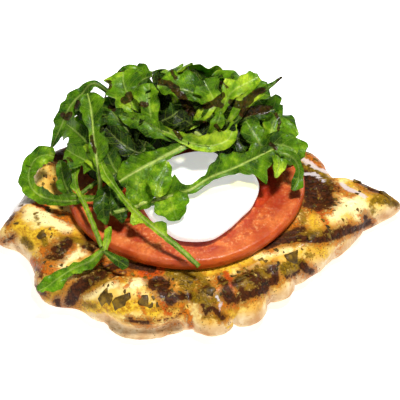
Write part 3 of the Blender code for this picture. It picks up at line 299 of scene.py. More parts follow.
# How finely the visible pieces are cut
BREAST_SPOKES, BREAST_EDGE_STEPS, BREAST_TOP_RINGS, BREAST_INNER_RINGS, BREAST_UNDER_RINGS = 700, 30, 78, 8, 6
BREAST_FINE_TO = 0.42  # the share of the radius down to which its top is cut finely
SLICE_SPOKES = 360
CORE_SPOKES = 160


def smoothstep(value):
    value = np.clip(value, 0.0, 1.0)
    return value * value * (3 - 2 * value)


def catmull_rom(points, share, closed=False):
    """Points of a smooth curve through the given ones, at shares of the way from 0 to 1."""
    points = np.asarray(points, float)
    if closed:
        points = np.vstack([points[-1:], points, points[:2]])
    else:
        points = np.vstack([2 * points[0] - points[1], points, 2 * points[-1] - points[-2]])
    spans = len(points) - 3
    place = np.clip(np.asarray(share, float), 0, 1) * spans
    first = np.minimum(place.astype(int), spans - 1)
    u = (place - first)[:, None]
    a, b, c, d = (points[first + k] for k in range(4))
    return 0.5 * (2 * b + (c - a) * u + (2 * a - 5 * b + 4 * c - d) * u**2 + (3 * b - a - 3 * c + d) * u**3)


def polar(x, y, heart):
    return np.hypot(x - heart[0], y - heart[1]), np.arctan2(y - heart[1], x - heart[0])


def directions(count):
    """Directions in radians, spread evenly over the whole turn."""
    return 2 * math.pi * np.arange(count) / count


def around(heart, reach, theta):
    """Places at this distance from a middle, by direction."""
    return heart[0] + reach * np.cos(theta), heart[1] + reach * np.sin(theta)


def nearest_on_line(x, y, start, end):
    """The share of the way along a line at which x, y is nearest to it, and how far away it is there."""
    (x0, y0), (x1, y1) = start, end
    run = max((x1 - x0) ** 2 + (y1 - y0) ** 2, 1e-9)
    t = np.clip(((x - x0) * (x1 - x0) + (y - y0) * (y1 - y0)) / run, 0, 1)
    return t, np.hypot(x - x0 - t * (x1 - x0), y - y0 - t * (y1 - y0))


def outline_radius(points, heart, samples=720):
    """The radius of a closed outline as a function of direction, in radians."""
    curve = catmull_rom(points, np.linspace(0, 1, samples, endpoint=False), closed=True)
    radius, angle = polar(curve[:, 0], curve[:, 1], heart)
    order = np.argsort(angle)
    return lambda theta: np.interp(theta, angle[order], radius[order], period=2 * math.pi)


breast_radius = outline_radius(BREAST_OUTLINE, BREAST_HEART)
mozzarella_radius = outline_radius(
    [(r * math.cos(math.radians(a)), r * math.sin(math.radians(a))) for a, r in MOZZARELLA_RADII], (0.0, 0.0)
)
core_radius = outline_radius(CORE_OUTLINE, CORE_HEART)


def tomato_radius(theta):
    """Nearly round, with the faint corners of a beef tomato."""
    return TOMATO_RADIUS * (1 + 0.008 * np.cos(5 * theta + 0.6) + 0.006 * np.cos(2 * theta - 0.4))


def dome(x, y):
    """The height of the breast without its relief."""
    along = (x - BREAST_HEART[0]) / BREAST_SPAN[0]
    across = (y - BREAST_HEART[1]) / BREAST_SPAN[1]
    return BREAST_THICK - BREAST_TIP_DROP * along**2 - BREAST_FRONT_DROP * across**2


def bare_of_tomato(x, y, margin, ease):
    """0 under the tomato slice and 1 away from it."""
    radius, theta = polar(x, y, TOMATO_HEART)
    return smoothstep((radius - tomato_radius(theta) - margin) / ease)


def breast_relief(x, y):
    """Lobes and creases on the breast, pressed flat under the tomato slice."""
    height = np.zeros_like(x)
    for cx, cy, long_radius, short_radius, turn, rise in LOBES:
        c, s = math.cos(math.radians(turn)), math.sin(math.radians(turn))
        u = ((x - cx) * c + (y - cy) * s) / long_radius
        v = ((y - cy) * c - (x - cx) * s) / short_radius
        height += rise * np.exp(-(u**2) - v**2)
    for start, end, width, depth in CREASES:
        t, away = nearest_on_line(x, y, start, end)
        height -= depth * (1 - 0.6 * t) * np.exp(-((away / width) ** 2))
    height += 0.35 * np.sin(x / 4.1 + 1.7 * np.sin(y / 6.3)) * np.sin(y / 3.7 + 1.1 * np.sin(x / 7.9))
    return height * bare_of_tomato(x, y, 4.0, 8.0)


def breast_top(x, y):
    return dome(x, y) + breast_relief(x, y)


def breast_surface(x, y):
    """The height of the breast's upper side anywhere inside its outline, its rounded edge included."""
    radius, theta = polar(x, y, BREAST_HEART)
    inner = breast_radius(theta) - BREAST_EDGE
    above = dome(*around(BREAST_HEART, inner, theta)) - BREAST_WAIST
    out = np.clip((radius - inner) / BREAST_EDGE, 0, 1) ** (1 / EDGE_POWER)
    up = np.sqrt(1 - out**2) ** EDGE_POWER
    edge = BREAST_WAIST + (above + breast_relief(x, y)) * up
    return np.where(radius < inner, breast_top(x, y), edge)


def knuckle_bulge(theta):
    """How far the rounded lumps stand out of the edge, by direction."""
    bulge = np.zeros_like(theta)
    for direction, half_width, rise in KNUCKLES:
        off = (np.degrees(theta) - direction + 180) % 360 - 180
        bulge = np.maximum(bulge, rise * np.sqrt(np.clip(1 - (off / half_width) ** 2, 0, 1)))
    return bulge


def fold_share(theta):
    """1 along the stretch of the edge that is folded over, fading to 0 at its ends."""
    degrees = np.degrees(theta)
    degrees = np.where(degrees > 0, degrees - 360, degrees)
    return smoothstep((degrees - FOLD_FROM) / 8.0) * smoothstep((FOLD_TO - degrees) / 4.0)


def breast_rings():
    """Rings of points from the middle of the flat underside, round the edge and in over the top."""
    theta = directions(BREAST_SPOKES)
    inner = breast_radius(theta) - BREAST_EDGE
    above = dome(*around(BREAST_HEART, inner, theta)) - BREAST_WAIST
    rings = []
    for share in np.linspace(0, 1, BREAST_UNDER_RINGS + 1)[1:-1]:
        x, y = around(BREAST_HEART, inner * share, theta)
        rings.append(np.column_stack([x, y, np.zeros_like(x)]))
    for lean in np.radians(np.linspace(-90, 90, BREAST_EDGE_STEPS + 1)):
        out, up = abs(math.cos(lean)) ** EDGE_POWER, math.copysign(abs(math.sin(lean)) ** EDGE_POWER, lean)
        low = math.exp(-((math.degrees(lean) + 18) / 38) ** 2)
        groove = math.exp(-((math.degrees(lean) + 4) / 15) ** 2)
        lower_layer = math.exp(-((math.degrees(lean) + 45) / 22) ** 2)
        radius = inner + BREAST_EDGE * out
        radius = radius + knuckle_bulge(theta) * low * out
        radius = radius + fold_share(theta) * (1.5 * lower_layer - FOLD_DEPTH * groove) * out
        x, y = around(BREAST_HEART, radius, theta)
        rise = above * up + breast_relief(x, y) * up if up > 0 else np.full_like(x, BREAST_WAIST * up)
        rings.append(np.column_stack([x, y, np.maximum(BREAST_WAIST + rise, 0.0)]))
    outer = np.linspace(1, BREAST_FINE_TO, BREAST_TOP_RINGS + 1)[1:]
    for share in np.concatenate([outer, np.linspace(BREAST_FINE_TO, 0, BREAST_INNER_RINGS + 2)[1:-1]]):
        x, y = around(BREAST_HEART, inner * share, theta)
        rings.append(np.column_stack([x, y, breast_top(x, y)]))
    return np.stack(rings)


def slice_rings(heart, radius_of, under, thick, edge, crown=0.0, inner_rings=26, edge_steps=14):
    """Rings of a slice that lies on the surface under(x, y), from its middle below, round its edge, to the top."""
    theta = directions(SLICE_SPOKES)
    radius = radius_of(theta)

    def ring(reach, lift, share):
        x, y = around(heart, reach, theta)
        return np.column_stack([x, y, under(x, y) + lift + crown * (lift / thick) * (1 - share**2)])

    rings = [ring((radius - edge) * k / 4, 0.0, k / 4) for k in range(1, 4)]
    for lean in np.radians(np.linspace(-90, 90, edge_steps + 1)):
        rings.append(ring(radius - edge + edge * math.cos(lean), thick * (1 + math.sin(lean)) / 2, 1.0))
    for k in range(inner_rings - 1, 0, -1):
        rings.append(ring((radius - edge) * k / inner_rings, thick, k / inner_rings))
    return np.stack(rings)


def tomato_under(x, y):
    return dome(x, y) + GAP


def tomato_top(x, y):
    return tomato_under(x, y) + TOMATO_THICK


def mozzarella_under(x, y):
    return tomato_top(x, y) + GAP


def pile_top(x, y):
    """The height of what lies under the rocket, with each slice's step eased as a leaf would lie over it."""
    radius, theta = polar(x, y, TOMATO_HEART)
    on_tomato = smoothstep((tomato_radius(theta) + STEP_REACH - radius) / STEP_EASE)
    height = breast_top(x, y)
    height = height + on_tomato * np.maximum(tomato_top(x, y) - height, 0)
    radius, theta = polar(x, y, MOZZARELLA_HEART)
    on_mozzarella = smoothstep((mozzarella_radius(theta) + STEP_REACH - radius) / STEP_EASE)
    rise = MOZZARELLA_THICK + MOZZARELLA_CROWN + GAP
    return height + on_mozzarella * rise


def core_reach(theta):
    return core_radius(theta) * (1 + 0.04 * np.sin(9 * theta))


def core_top(x, y):
    """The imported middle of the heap: a lumpy mound that follows what it lies on."""
    radius, theta = polar(x, y, CORE_HEART)
    share = np.clip(radius / core_reach(theta), 0, 1)
    mound = CORE_HEIGHT * (np.sqrt(1 - share**2.5) + 0.08 * np.sin(x / 5.0) * np.cos(y / 4.0))
    return pile_top(x, y) + CORE_GAP + np.maximum(mound, 1.0)


def core_rings(rings_up=44, rings_under=4):
    theta = directions(CORE_SPOKES)

    def ring(share, height):
        x, y = around(CORE_HEART, core_reach(theta) * share, theta)
        return np.column_stack([x, y, height(x, y)])

    below = [ring(k / rings_under, lambda x, y: pile_top(x, y) + CORE_GAP) for k in range(1, rings_under + 1)]
    shares = np.sin(np.linspace(90, 0, rings_up + 1)[:-1] * math.pi / 180)
    return np.stack(below + [ring(share, core_top) for share in shares])


def rooted(leaf):
    """The leaf with its stalk led down into the core, if it starts close to the core but not in it."""
    x, y, z = leaf.path[0]
    radius, theta = polar(x, y, CORE_HEART)
    reach = ROOT_SHARE * core_reach(theta)
    if radius > reach + ROOT_REACH:
        return leaf
    short = min(1.0, reach / radius)
    x, y = CORE_HEART[0] + (x - CORE_HEART[0]) * short, CORE_HEART[1] + (y - CORE_HEART[1]) * short
    depth = core_top(x, y) - ROOT_DEPTH
    if short == 1.0 and z < depth:
        return leaf
    spans = len(leaf.path) - 1
    outline = [(0, 0.8, 0.8)]
    outline += [((1 + share * spans) / (spans + 1), left, right) for share, left, right in leaf.outline]
    return leaf._replace(path=[(float(x), float(y), float(min(z, depth)))] + leaf.path, outline=outline)


def heap_place(bearing, rise, reach):
    """A place in this direction from the heap's middle, where reach is 1 at its surface."""
    place = (math.cos(bearing) * math.cos(rise), math.sin(bearing) * math.cos(rise), math.sin(rise))
    return tuple(h + reach * half * p for h, half, p in zip(HEAP_HEART, HEAP_HALF, place))


def scaled(outline, size):
    return [(share, left * size, right * size) for share, left, right in outline]


def filler_leaves():
    """Leaves laid along the heap's own surface, most of them on its back and its ends."""
    draw = random.Random(FILLER_SEED)
    tones = random.Random(FILLER_SEED + 1)
    leaves = []
    for number in range(FILLERS):
        bearing = number * GOLDEN_ANGLE
        if math.sin(bearing) < -0.2:
            bearing = -bearing
        rise = math.radians(draw.uniform(4, 66))
        swing, climb = draw.uniform(-0.9, 0.9), draw.uniform(-0.5, 0.35)
        path = []
        for share, reach in ((0.0, 0.66), (0.45, 0.96), (1.0, 1.06)):
            x, y, z = heap_place(bearing + swing * share, rise + climb * share, reach)
            path.append((x, y, min(z, FILLER_TOP - y)))
        size = draw.uniform(1.3, 2.0)
        outline = scaled(draw.choice((PLAIN, LOBED, LOBED)), size)
        leaves.append(Leaf(path, outline, draw.uniform(-25, 25), draw.uniform(0.1, 0.35), tones.uniform(0.3, 0.7)))
    return leaves


def inner_leaves():
    """Leaves under the others, in every direction, each laid along the heap somewhat below its surface."""
    draw = random.Random(INNER_SEED)
    leaves = []
    for number in range(INNER_LEAVES):
        bearing = number * GOLDEN_ANGLE
        rise = math.radians(draw.uniform(8, 78))
        swing, climb = draw.uniform(-0.8, 0.8), draw.uniform(-0.5, 0.5)
        out = draw.uniform(0.74, 0.93)
        path = []
        for share, reach in ((0.0, 0.7), (0.35, 0.94), (0.7, 1.0), (1.0, 1.03)):
            path.append(heap_place(bearing + swing * share, rise + climb * share, out * reach))
        size = draw.uniform(0.9, 1.5)
        outline = scaled(draw.choice((LOBED, JAGGED, JAGGED)), size)
        # Tones from -0.15 to 0.3 paint these inner leaves dark: painted shade deep in the heap.
        leaf = Leaf(path, outline, draw.uniform(-35, 35), draw.uniform(0.1, 0.4), draw.uniform(-0.15, 0.3), 0.3)
        middle = catmull_rom(path, np.linspace(0, 1, 12))
        px, py = photo_pixels(middle)
        across, up = np.abs(px - WINDOW[0]) / WINDOW_HALF[0], np.abs(py - WINDOW[1]) / WINDOW_HALF[1]
        if not ((across < 1) & (up < 1) & (middle[:, 1] < WINDOW_BACK)).any():
            leaves.append(leaf)
    return leaves


def cell_value(cell, seed):
    """A number from 0 to 1 for each cell of a lattice, always the same for the same cell."""
    x, y, z = (cell[:, k].astype(np.uint32) for k in range(3))
    mixed = x * np.uint32(374761393) + y * np.uint32(668265263) + z * np.uint32(2246822519)
    mixed = (mixed + np.uint32(seed * 3266489)) * np.uint32(2654435761)
    mixed ^= mixed >> np.uint32(15)
    mixed *= np.uint32(2246822519)
    mixed ^= mixed >> np.uint32(13)
    return (mixed & np.uint32(0xFFFFFF)) / float(0xFFFFFF)


def noise(points, size, seed=0, octaves=1):
    """Smooth noise from about -1 to 1 at points, with features of this size."""
    total, reach = np.zeros(len(points)), 0.0
    for octave in range(octaves):
        place = points * (2.0**octave / size)
        cell = np.floor(place).astype(np.int64)
        part = place - cell
        part = part * part * (3 - 2 * part)
        value = np.zeros(len(points))
        for corner in product((0, 1), repeat=3):
            weight = np.prod(np.where(corner, part, 1 - part), axis=1)
            value += weight * cell_value(cell + np.array(corner), seed + 17 * octave)
        total += (2 * value - 1) * 0.5**octave
        reach += 0.5**octave
    return total / reach


def photo_pixels(points):
    """Where points of the working frame show in the photograph."""
    away = np.asarray(points, float) - VIEW_TARGET
    c, s = math.cos(VIEW_ELEVATION), math.sin(VIEW_ELEVATION)
    depth = VIEW_DISTANCE - away @ np.array([0, -c, s])
    scale = PHOTO_SIDE / VIEW_WIDTH * VIEW_DISTANCE / depth
    return PHOTO_SIDE / 2 + away[:, 0] * scale, PHOTO_SIDE / 2 - (away @ np.array([0, s, c])) * scale


# How the edges of marks wander: reach in photo pixels, size in millimetres, first seed, octaves.
CHICKEN_WANDER = (2.6, 5.0, 1, 3)
TOMATO_WANDER = (2.0, 4.0, 34, 3)
MOZZARELLA_WANDER = (2.0, 6.0, 42, 2)
LEAF_WANDER = (1.3, 4.0, 51, 2)


def wandering_pixels(points, reach, size, seed, octaves):
    """Where points show in the photograph, moved about by up to reach pixels, so that marks get ragged edges."""
    px, py = photo_pixels(points)
    return px + reach * noise(points, size, seed, octaves), py + reach * noise(points, size, seed + 1, octaves)


def stroke_mask(px, py, strokes):
    """How strongly strokes cover places: each stroke is a line of places, a half width and a strength."""
    mask = np.zeros(len(px))
    for line, half_width, strength in strokes:
        away = np.full(len(px), 1e9)
        for start, end in zip(line, line[1:] or line):
            away = np.minimum(away, nearest_on_line(px, py, start, end)[1])
        mask = np.maximum(mask, strength * smoothstep(1.35 - away / half_width))
    return mask


def grid_normals(grid, closed):
    """Unit normals of a grid of points, rings by spokes."""
    if closed:
        along = np.roll(grid, -1, axis=1) - np.roll(grid, 1, axis=1)
    else:
        along = np.gradient(grid, axis=1)
    up = np.gradient(grid, axis=0)
    normal = np.cross(along, up)
    return normal / np.maximum(np.linalg.norm(normal, axis=2), 1e-9)[:, :, None]


def ring_faces(rings, spokes):
    """Quads between closed rings, and fans at both ends to two points that follow the rings' own."""
    k = np.arange(rings * spokes).reshape(rings, spokes)
    right = np.roll(k, -1, axis=1)
    faces = np.stack([k[:-1], right[:-1], right[1:], k[1:]], axis=-1).reshape(-1, 4).tolist()
    bottom, top = rings * spokes, rings * spokes + 1
    faces += [(bottom, int(b), int(a)) for a, b in zip(k[0], right[0])]
    faces += [(top, int(a), int(b)) for a, b in zip(k[-1], right[-1])]
    return faces


def ring_points(grid):
    """The points of a grid of rings in one row, and their normals."""
    return grid.reshape(-1, 3), grid_normals(grid, closed=True).reshape(-1, 3)


def add_object(name, data):
    thing = bpy.data.objects.new(name, data)
    bpy.context.scene.collection.objects.link(thing)
    return thing


def make_piece(name, points, faces, material, node, attributes=None):
    """A mesh piece from points in the working frame, shown in place of a CAD node, which is hidden."""
    mesh = bpy.data.meshes.new(name)
    mesh.from_pydata(((points + SHIFT) * MM).tolist(), [], faces)
    for key, values in (attributes or {}).items():
        mesh.attributes.new(key, "FLOAT", "POINT").data.foreach_set("value", np.asarray(values, np.float32))
    mesh.materials.append(material)
    mesh.shade_smooth()
    piece = add_object(name, mesh)
    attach(piece, "root")
    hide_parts(node)


def make_ring_piece(name, points, shape, ends, material, node, marks=None):
    """A piece from rings of points, closed by a point at either end, where its marks are 0."""
    marks = {key: np.concatenate([values, [0, 0]]) for key, values in (marks or {}).items()}
    make_piece(name, np.vstack([points, ends]), ring_faces(*shape), material, node, marks)


def tint(red, green, blue):
    """A linear colour from the 0 to 255 values that a picture shows."""
    values = (c / 255 for c in (red, green, blue))
    return tuple(c / 12.92 if c <= 0.04045 else ((c + 0.055) / 1.055) ** 2.4 for c in values) + (1.0,)


class Shader:
    """Short ways of adding nodes to a new material."""

    def __init__(self, name, roughness, **constants):
        self.material = bpy.data.materials.new(name)
        self.material.use_nodes = True
        self.nodes = self.material.node_tree.nodes
        self.links = self.material.node_tree.links
        self.surface = self.nodes["Principled BSDF"]
        self.surface.inputs["Roughness"].default_value = roughness
        for key, value in constants.items():
            self.surface.inputs[key.replace("_", " ")].default_value = value
        self.place = self.nodes.new("ShaderNodeTexCoord").outputs["Object"]

    def put(self, socket, value):
        if isinstance(value, bpy.types.NodeSocket):
            self.links.new(value, socket)
        else:
            socket.default_value = value

    def value(self, key):
        node = self.nodes.new("ShaderNodeAttribute")
        node.attribute_name = key
        return node.outputs["Fac"]

    def math(self, operation, a, b=0.0):
        node = self.nodes.new("ShaderNodeMath")
        node.operation = operation
        self.put(node.inputs[0], a)
        self.put(node.inputs[1], b)
        return node.outputs[0]

    def add(self, a, b):
        return self.math("ADD", a, b)

    def less(self, a, b):
        return self.math("SUBTRACT", a, b)

    def times(self, a, b):
        return self.math("MULTIPLY", a, b)

    def swing(self, value, reach):
        """A value from 0 to 1, made to run over this reach with its middle at 0."""
        return self.times(self.less(value, 0.5), reach)

    def moved(self, seed, stretch=(1, 1, 1)):
        """The object's own coordinates, moved by the seed, so that no two patterns are alike, and stretched."""
        node = self.nodes.new("ShaderNodeMapping")
        node.inputs["Location"].default_value = (seed, seed * 0.7, seed * 1.3)
        node.inputs["Scale"].default_value = stretch
        self.links.new(self.place, node.inputs["Vector"])
        return node.outputs[0]

    def noise(self, size, detail=2.0, seed=0.0, stretch=(1, 1, 1)):
        """Noise from 0 to 1 with features of this size in millimetres, drawn out by stretch along each axis."""
        node = self.nodes.new("ShaderNodeTexNoise")
        node.inputs["Scale"].default_value = 1 / (size * MM)
        node.inputs["Detail"].default_value = detail
        self.links.new(self.moved(seed, stretch), node.inputs["Vector"])
        return node.outputs["Fac"]

    def cells(self, size, feature="DISTANCE_TO_EDGE", seed=0.0):
        node = self.nodes.new("ShaderNodeTexVoronoi")
        node.feature = feature
        node.inputs["Scale"].default_value = 1 / (size * MM)
        self.links.new(self.moved(seed), node.inputs["Vector"])
        return node.outputs["Distance"]

    def mix(self, share, a, b):
        node = self.nodes.new("ShaderNodeMix")
        node.data_type = "RGBA"
        self.put(node.inputs[0], share)
        self.put(node.inputs[6], a)
        self.put(node.inputs[7], b)
        return node.outputs[2]

    def map(self, value, low, high, to_low=0.0, to_high=1.0):
        node = self.nodes.new("ShaderNodeMapRange")
        node.interpolation_type = "SMOOTHSTEP"
        for socket, given in zip(node.inputs, (value, low, high, to_low, to_high)):
            self.put(socket, given)
        return node.outputs[0]

    def ramp(self, share, stops):
        """Colours by share: each stop is a place and the 0 to 255 values that a picture shows there."""
        node = self.nodes.new("ShaderNodeValToRGB")
        bar = node.color_ramp.elements
        while len(bar) < len(stops):
            bar.new(0.5)
        for element, (place, *colour) in zip(bar, stops):
            element.position, element.color = place, tint(*colour)
        self.put(node.inputs[0], share)
        return node.outputs[0]

    def bump(self, height, distance, strength=1.0, normal=None):
        """Relief of this depth in millimetres."""
        node = self.nodes.new("ShaderNodeBump")
        node.inputs["Strength"].default_value = strength
        node.inputs["Distance"].default_value = distance * MM
        self.put(node.inputs["Height"], height)
        if normal is not None:
            self.links.new(normal, node.inputs["Normal"])
        return node.outputs[0]

    def finish(self, colour, normal=None, roughness=None):
        self.put(self.surface.inputs["Base Color"], colour)
        if normal is not None:
            self.links.new(normal, self.surface.inputs["Normal"])
        if roughness is not None:
            self.links.new(roughness, self.surface.inputs["Roughness"])
        return self.material


# Marks on the chicken, in photo pixels: a line of places, a half width and a strength.
CHAR_AND_SHADE = [
    ([(70, 300), (75, 290), (84, 283)], 8, 1.0), ([(84, 283), (95, 276), (104, 271)], 8, 0.8),
    ([(100, 272), (112, 267), (126, 265), (140, 267), (152, 269)], 5, 0.95), ([(112, 276), (124, 273)], 4, 0.6),
    ([(152, 283), (160, 280), (166, 284)], 5, 1.0), ([(162, 290), (170, 300)], 7, 1.0),
    ([(172, 297), (188, 297)], 5, 0.95), ([(150, 287), (158, 289)], 4, 0.8),
    ([(84, 246), (92, 249), (100, 247)], 3, 0.8), ([(58, 249), (67, 243)], 7, 0.95),
    ([(49, 257), (60, 257)], 5, 0.85), ([(37, 268), (42, 275)], 4, 0.6), ([(38, 287), (43, 293)], 4, 0.8),
    ([(57, 299), (60, 306)], 3, 1.0), ([(87, 236), (92, 237)], 4, 1.1), ([(3, 241), (13, 236)], 3, 0.8),
    ([(8, 222), (12, 215)], 4, 0.7), ([(17, 213), (22, 212)], 3, 0.5),
    ([(201, 292), (207, 286), (210, 296)], 4, 0.7), ([(207, 312), (214, 309), (222, 317)], 4, 0.9),
    ([(202, 306), (206, 315)], 3, 0.8), ([(226, 290), (230, 298)], 7, 1.0), ([(220, 279), (226, 283)], 4, 0.85),
    ([(235, 283), (241, 279), (246, 274)], 5, 0.8), ([(236, 300), (242, 290), (244, 300)], 5, 0.8),
    ([(254, 277), (262, 284)], 9, 0.8), ([(268, 270), (275, 268), (276, 279)], 5, 0.85),
    ([(247, 296), (256, 293), (264, 289)], 5, 1.05), ([(263, 284), (270, 282), (276, 280)], 5, 1.05),
    ([(266, 246), (274, 243), (284, 240)], 4, 1.0), ([(282, 238), (294, 231), (302, 229)], 5, 0.85),
    ([(284, 241), (298, 238), (312, 240), (326, 240), (338, 237)], 4, 1.0),
    ([(326, 233), (338, 233), (350, 228)], 5, 0.75), ([(338, 234), (350, 231), (360, 226), (369, 222)], 4, 1.05),
    ([(366, 217), (370, 224)], 4, 0.95), ([(286, 277), (292, 276), (298, 272)], 2, 0.9),
    # Right of the tomato, the strokes from (302, 174) to (330, 206) are painted shade of the heap, laid on as char.
    ([(302, 266), (306, 270), (310, 272)], 5, 0.95), ([(305, 180), (310, 190), (312, 200)], 9, 1.1),
    ([(318, 184), (326, 194), (330, 202)], 6, 1.0), ([(304, 205), (316, 208), (328, 206)], 5, 0.8),
    ([(302, 174), (314, 180), (328, 190)], 6, 0.9), ([(316, 200), (328, 200)], 6, 0.9),
    ([(290, 214), (294, 204), (300, 196)], 5, 0.6), ([(360, 182), (370, 187), (384, 192)], 4, 0.85),
    ([(332, 182), (338, 190)], 4, 0.65), ([(390, 200), (396, 205)], 3, 0.6),
    ([(128, 319), (138, 322), (148, 322)], 2.4, 0.9), ([(148, 321), (162, 321), (176, 318), (184, 312)], 1.6, 0.6),
]  # fmt: skip
BROWN = [
    ([(57, 214), (68, 218), (74, 222)], 7, 0.9), ([(36, 202), (44, 208)], 5, 0.8),
    ([(100, 264), (130, 268), (160, 268)], 7, 0.9), ([(96, 270), (120, 273), (148, 275), (176, 269)], 6, 0.9),
    ([(298, 152), (314, 158), (330, 170)], 6, 0.9), ([(116, 282), (128, 276), (142, 272)], 5, 0.6),
    ([(126, 288), (132, 278), (146, 276)], 2.4, 0.7), ([(138, 294), (142, 304), (144, 312)], 3.4, 0.7),
    ([(160, 306), (168, 310)], 6, 0.7), ([(170, 278), (182, 284), (196, 290)], 8, 0.5),
    ([(183, 308), (188, 318), (190, 326)], 5, 0.85), ([(150, 326), (166, 326), (186, 324)], 5, 0.45),
    ([(36, 262), (46, 268), (54, 272)], 8, 0.85), ([(44, 250), (58, 252), (70, 246)], 8, 0.75),
    ([(210, 285), (228, 290), (240, 284)], 12, 0.6), ([(224, 306), (234, 302)], 6, 0.6),
    ([(268, 246), (276, 252)], 4, 0.55), ([(286, 226), (300, 222), (306, 212)], 7, 0.7),
    ([(294, 214), (303, 200)], 7, 0.7), ([(300, 246), (310, 250), (316, 256)], 2.4, 0.35),
    ([(318, 240), (320, 250)], 2.4, 0.4), ([(340, 240), (338, 256)], 4, 0.45), ([(316, 206), (330, 212)], 6, 0.6),
    ([(300, 154), (316, 160), (330, 170)], 5, 0.8), ([(328, 182), (340, 188), (352, 194)], 6, 0.75),
    ([(358, 182), (372, 184), (388, 194)], 5, 0.8), ([(4, 240), (12, 238)], 4, 0.5),
    ([(362, 218), (372, 222)], 4, 0.6), ([(248, 302), (258, 300), (268, 294)], 3, 0.4),
]  # fmt: skip
RED = [
    ([(34, 200), (40, 206), (46, 206)], 5, 0.9), ([(142, 272), (152, 272), (160, 270)], 6, 0.9),
    ([(150, 276), (142, 280)], 4, 0.6), ([(140, 294), (142, 306)], 3, 0.6), ([(164, 304), (168, 314)], 5, 0.75),
    ([(226, 273), (230, 280), (232, 284)], 4, 0.95), ([(316, 204), (322, 214), (326, 222)], 5, 0.85),
    ([(318, 200), (324, 206)], 5, 0.6), ([(234, 302), (236, 310)], 4, 0.55), ([(34, 264), (44, 270)], 5, 0.55),
    ([(88, 224), (94, 236)], 5, 0.5), ([(358, 216), (366, 220)], 3, 0.5), ([(196, 280), (200, 285)], 4, 0.5),
    ([(336, 186), (340, 192)], 4, 0.5), ([(100, 262), (106, 258)], 3, 0.6),
]  # fmt: skip
OIL = [
    ([(18, 226), (28, 234), (38, 240)], 9, 0.9), ([(34, 236), (50, 232), (66, 232), (78, 238)], 7, 1.0),
    ([(30, 222), (36, 214)], 5, 0.6), ([(30, 248), (36, 256)], 4, 0.7), ([(44, 296), (56, 288), (64, 284)], 8, 0.9),
    ([(76, 306), (96, 306), (120, 308), (140, 304), (156, 310)], 8, 1.0), ([(112, 284), (124, 280)], 5, 0.8),
    ([(152, 296), (158, 300)], 4, 0.8), ([(168, 306), (182, 306)], 5, 0.8),
    ([(200, 274), (214, 272), (226, 270)], 7, 1.0), ([(226, 266), (246, 262), (262, 262)], 5, 0.9),
    ([(218, 316), (230, 314), (234, 308)], 6, 1.1), ([(226, 327), (232, 325)], 3, 0.9),
    ([(280, 254), (300, 250), (330, 248)], 7, 0.55), ([(310, 216), (316, 228)], 5, 0.8),
    ([(296, 226), (312, 232), (330, 228)], 6, 0.7), ([(308, 204), (314, 214)], 4, 0.8),
    ([(318, 250), (326, 256)], 5, 0.7), ([(358, 196), (370, 198), (380, 202)], 6, 0.8),
    ([(348, 186), (356, 182)], 4, 0.9), ([(386, 194), (394, 200)], 5, 0.8), ([(362, 206), (364, 214)], 4, 0.5),
    ([(212, 298), (216, 304)], 5, 0.8),
]  # fmt: skip
OLIVE = [
    ([(24, 240), (30, 246)], 5, 0.95), ([(304, 168), (316, 173), (330, 184)], 5, 0.9),
    ([(42, 236), (46, 244)], 4, 0.8), ([(36, 218), (38, 226)], 3, 0.6), ([(62, 240), (74, 240), (86, 244)], 5, 0.7),
    ([(84, 284), (92, 276), (102, 274)], 9, 0.75), ([(96, 284), (108, 280)], 5, 0.5),
    ([(170, 272), (180, 276), (190, 274)], 8, 0.8), ([(186, 284), (198, 278), (206, 290)], 9, 0.8),
    ([(190, 296), (204, 300), (208, 308)], 7, 0.8), ([(214, 302), (218, 296)], 5, 0.7),
    ([(240, 282), (256, 276), (268, 270)], 9, 0.7), ([(248, 288), (262, 280)], 8, 0.6),
    ([(284, 268), (292, 264), (300, 264)], 6, 1.0), ([(286, 274), (296, 270)], 4, 0.8),
    ([(290, 234), (306, 236), (320, 234)], 6, 0.7), ([(328, 234), (342, 232)], 5, 0.6),
    ([(306, 254), (312, 256)], 4, 0.6), ([(372, 200), (384, 202), (396, 204)], 4, 0.9),
    ([(370, 206), (374, 212)], 3, 0.7), ([(376, 196), (390, 198)], 3, 0.6), ([(86, 304), (94, 306)], 4, 0.7),
    ([(204, 318), (222, 318)], 3, 0.6), ([(300, 212), (304, 222)], 4, 0.6),
]  # fmt: skip
CREAM = [
    ([(30, 214), (48, 218), (66, 226)], 10, 0.9), ([(62, 264), (74, 256), (84, 250)], 6, 1.0),
    ([(88, 296), (100, 290), (116, 284)], 5, 0.8), ([(132, 284), (146, 282)], 5, 1.0),
    ([(62, 280), (76, 274)], 4, 0.7), ([(256, 258), (270, 254), (290, 250)], 5, 0.7),
    ([(334, 212), (346, 204), (358, 206), (362, 214)], 11, 1.0), ([(246, 270), (258, 264)], 3, 0.6),
    ([(334, 224), (346, 220)], 5, 0.5),
]  # fmt: skip
# Grey-white glare of wet meat against the light, in photo pixels.
SHEEN = [
    ([(16, 208), (24, 200), (36, 198)], 5, 1.0), ([(302, 160), (314, 166), (326, 172)], 3.4, 0.9),
    ([(304, 175), (314, 175), (324, 182)], 1.6, 1.0), ([(342, 184), (350, 190), (364, 196)], 2.6, 0.9),
    ([(356, 178), (368, 182), (380, 188)], 2.0, 0.8), ([(216, 296), (222, 302), (220, 308)], 2.2, 0.7),
]  # fmt: skip
# Char and oil on what the photograph hides, by plan: grill bars run to the front right, as those that show do.
BACK_BARS = [
    ([(-76, -22), (-66, -8)], 4, 0.7), ([(-70, -2), (-52, 16), (-44, 26)], 4.5, 0.9),
    ([(-36, 28), (-24, 38)], 4.5, 0.9), ([(-14, 38), (0, 44)], 4, 0.8), ([(10, 42), (24, 34)], 4.5, 0.9),
    ([(30, 30), (42, 20)], 4, 0.7),
]  # fmt: skip


def singed(strokes, more):
    """Wider strokes round those of the char and of the shade painted as char."""
    return [(line, 1.7 * half_width + more, min(strength, 0.9)) for line, half_width, strength in strokes]


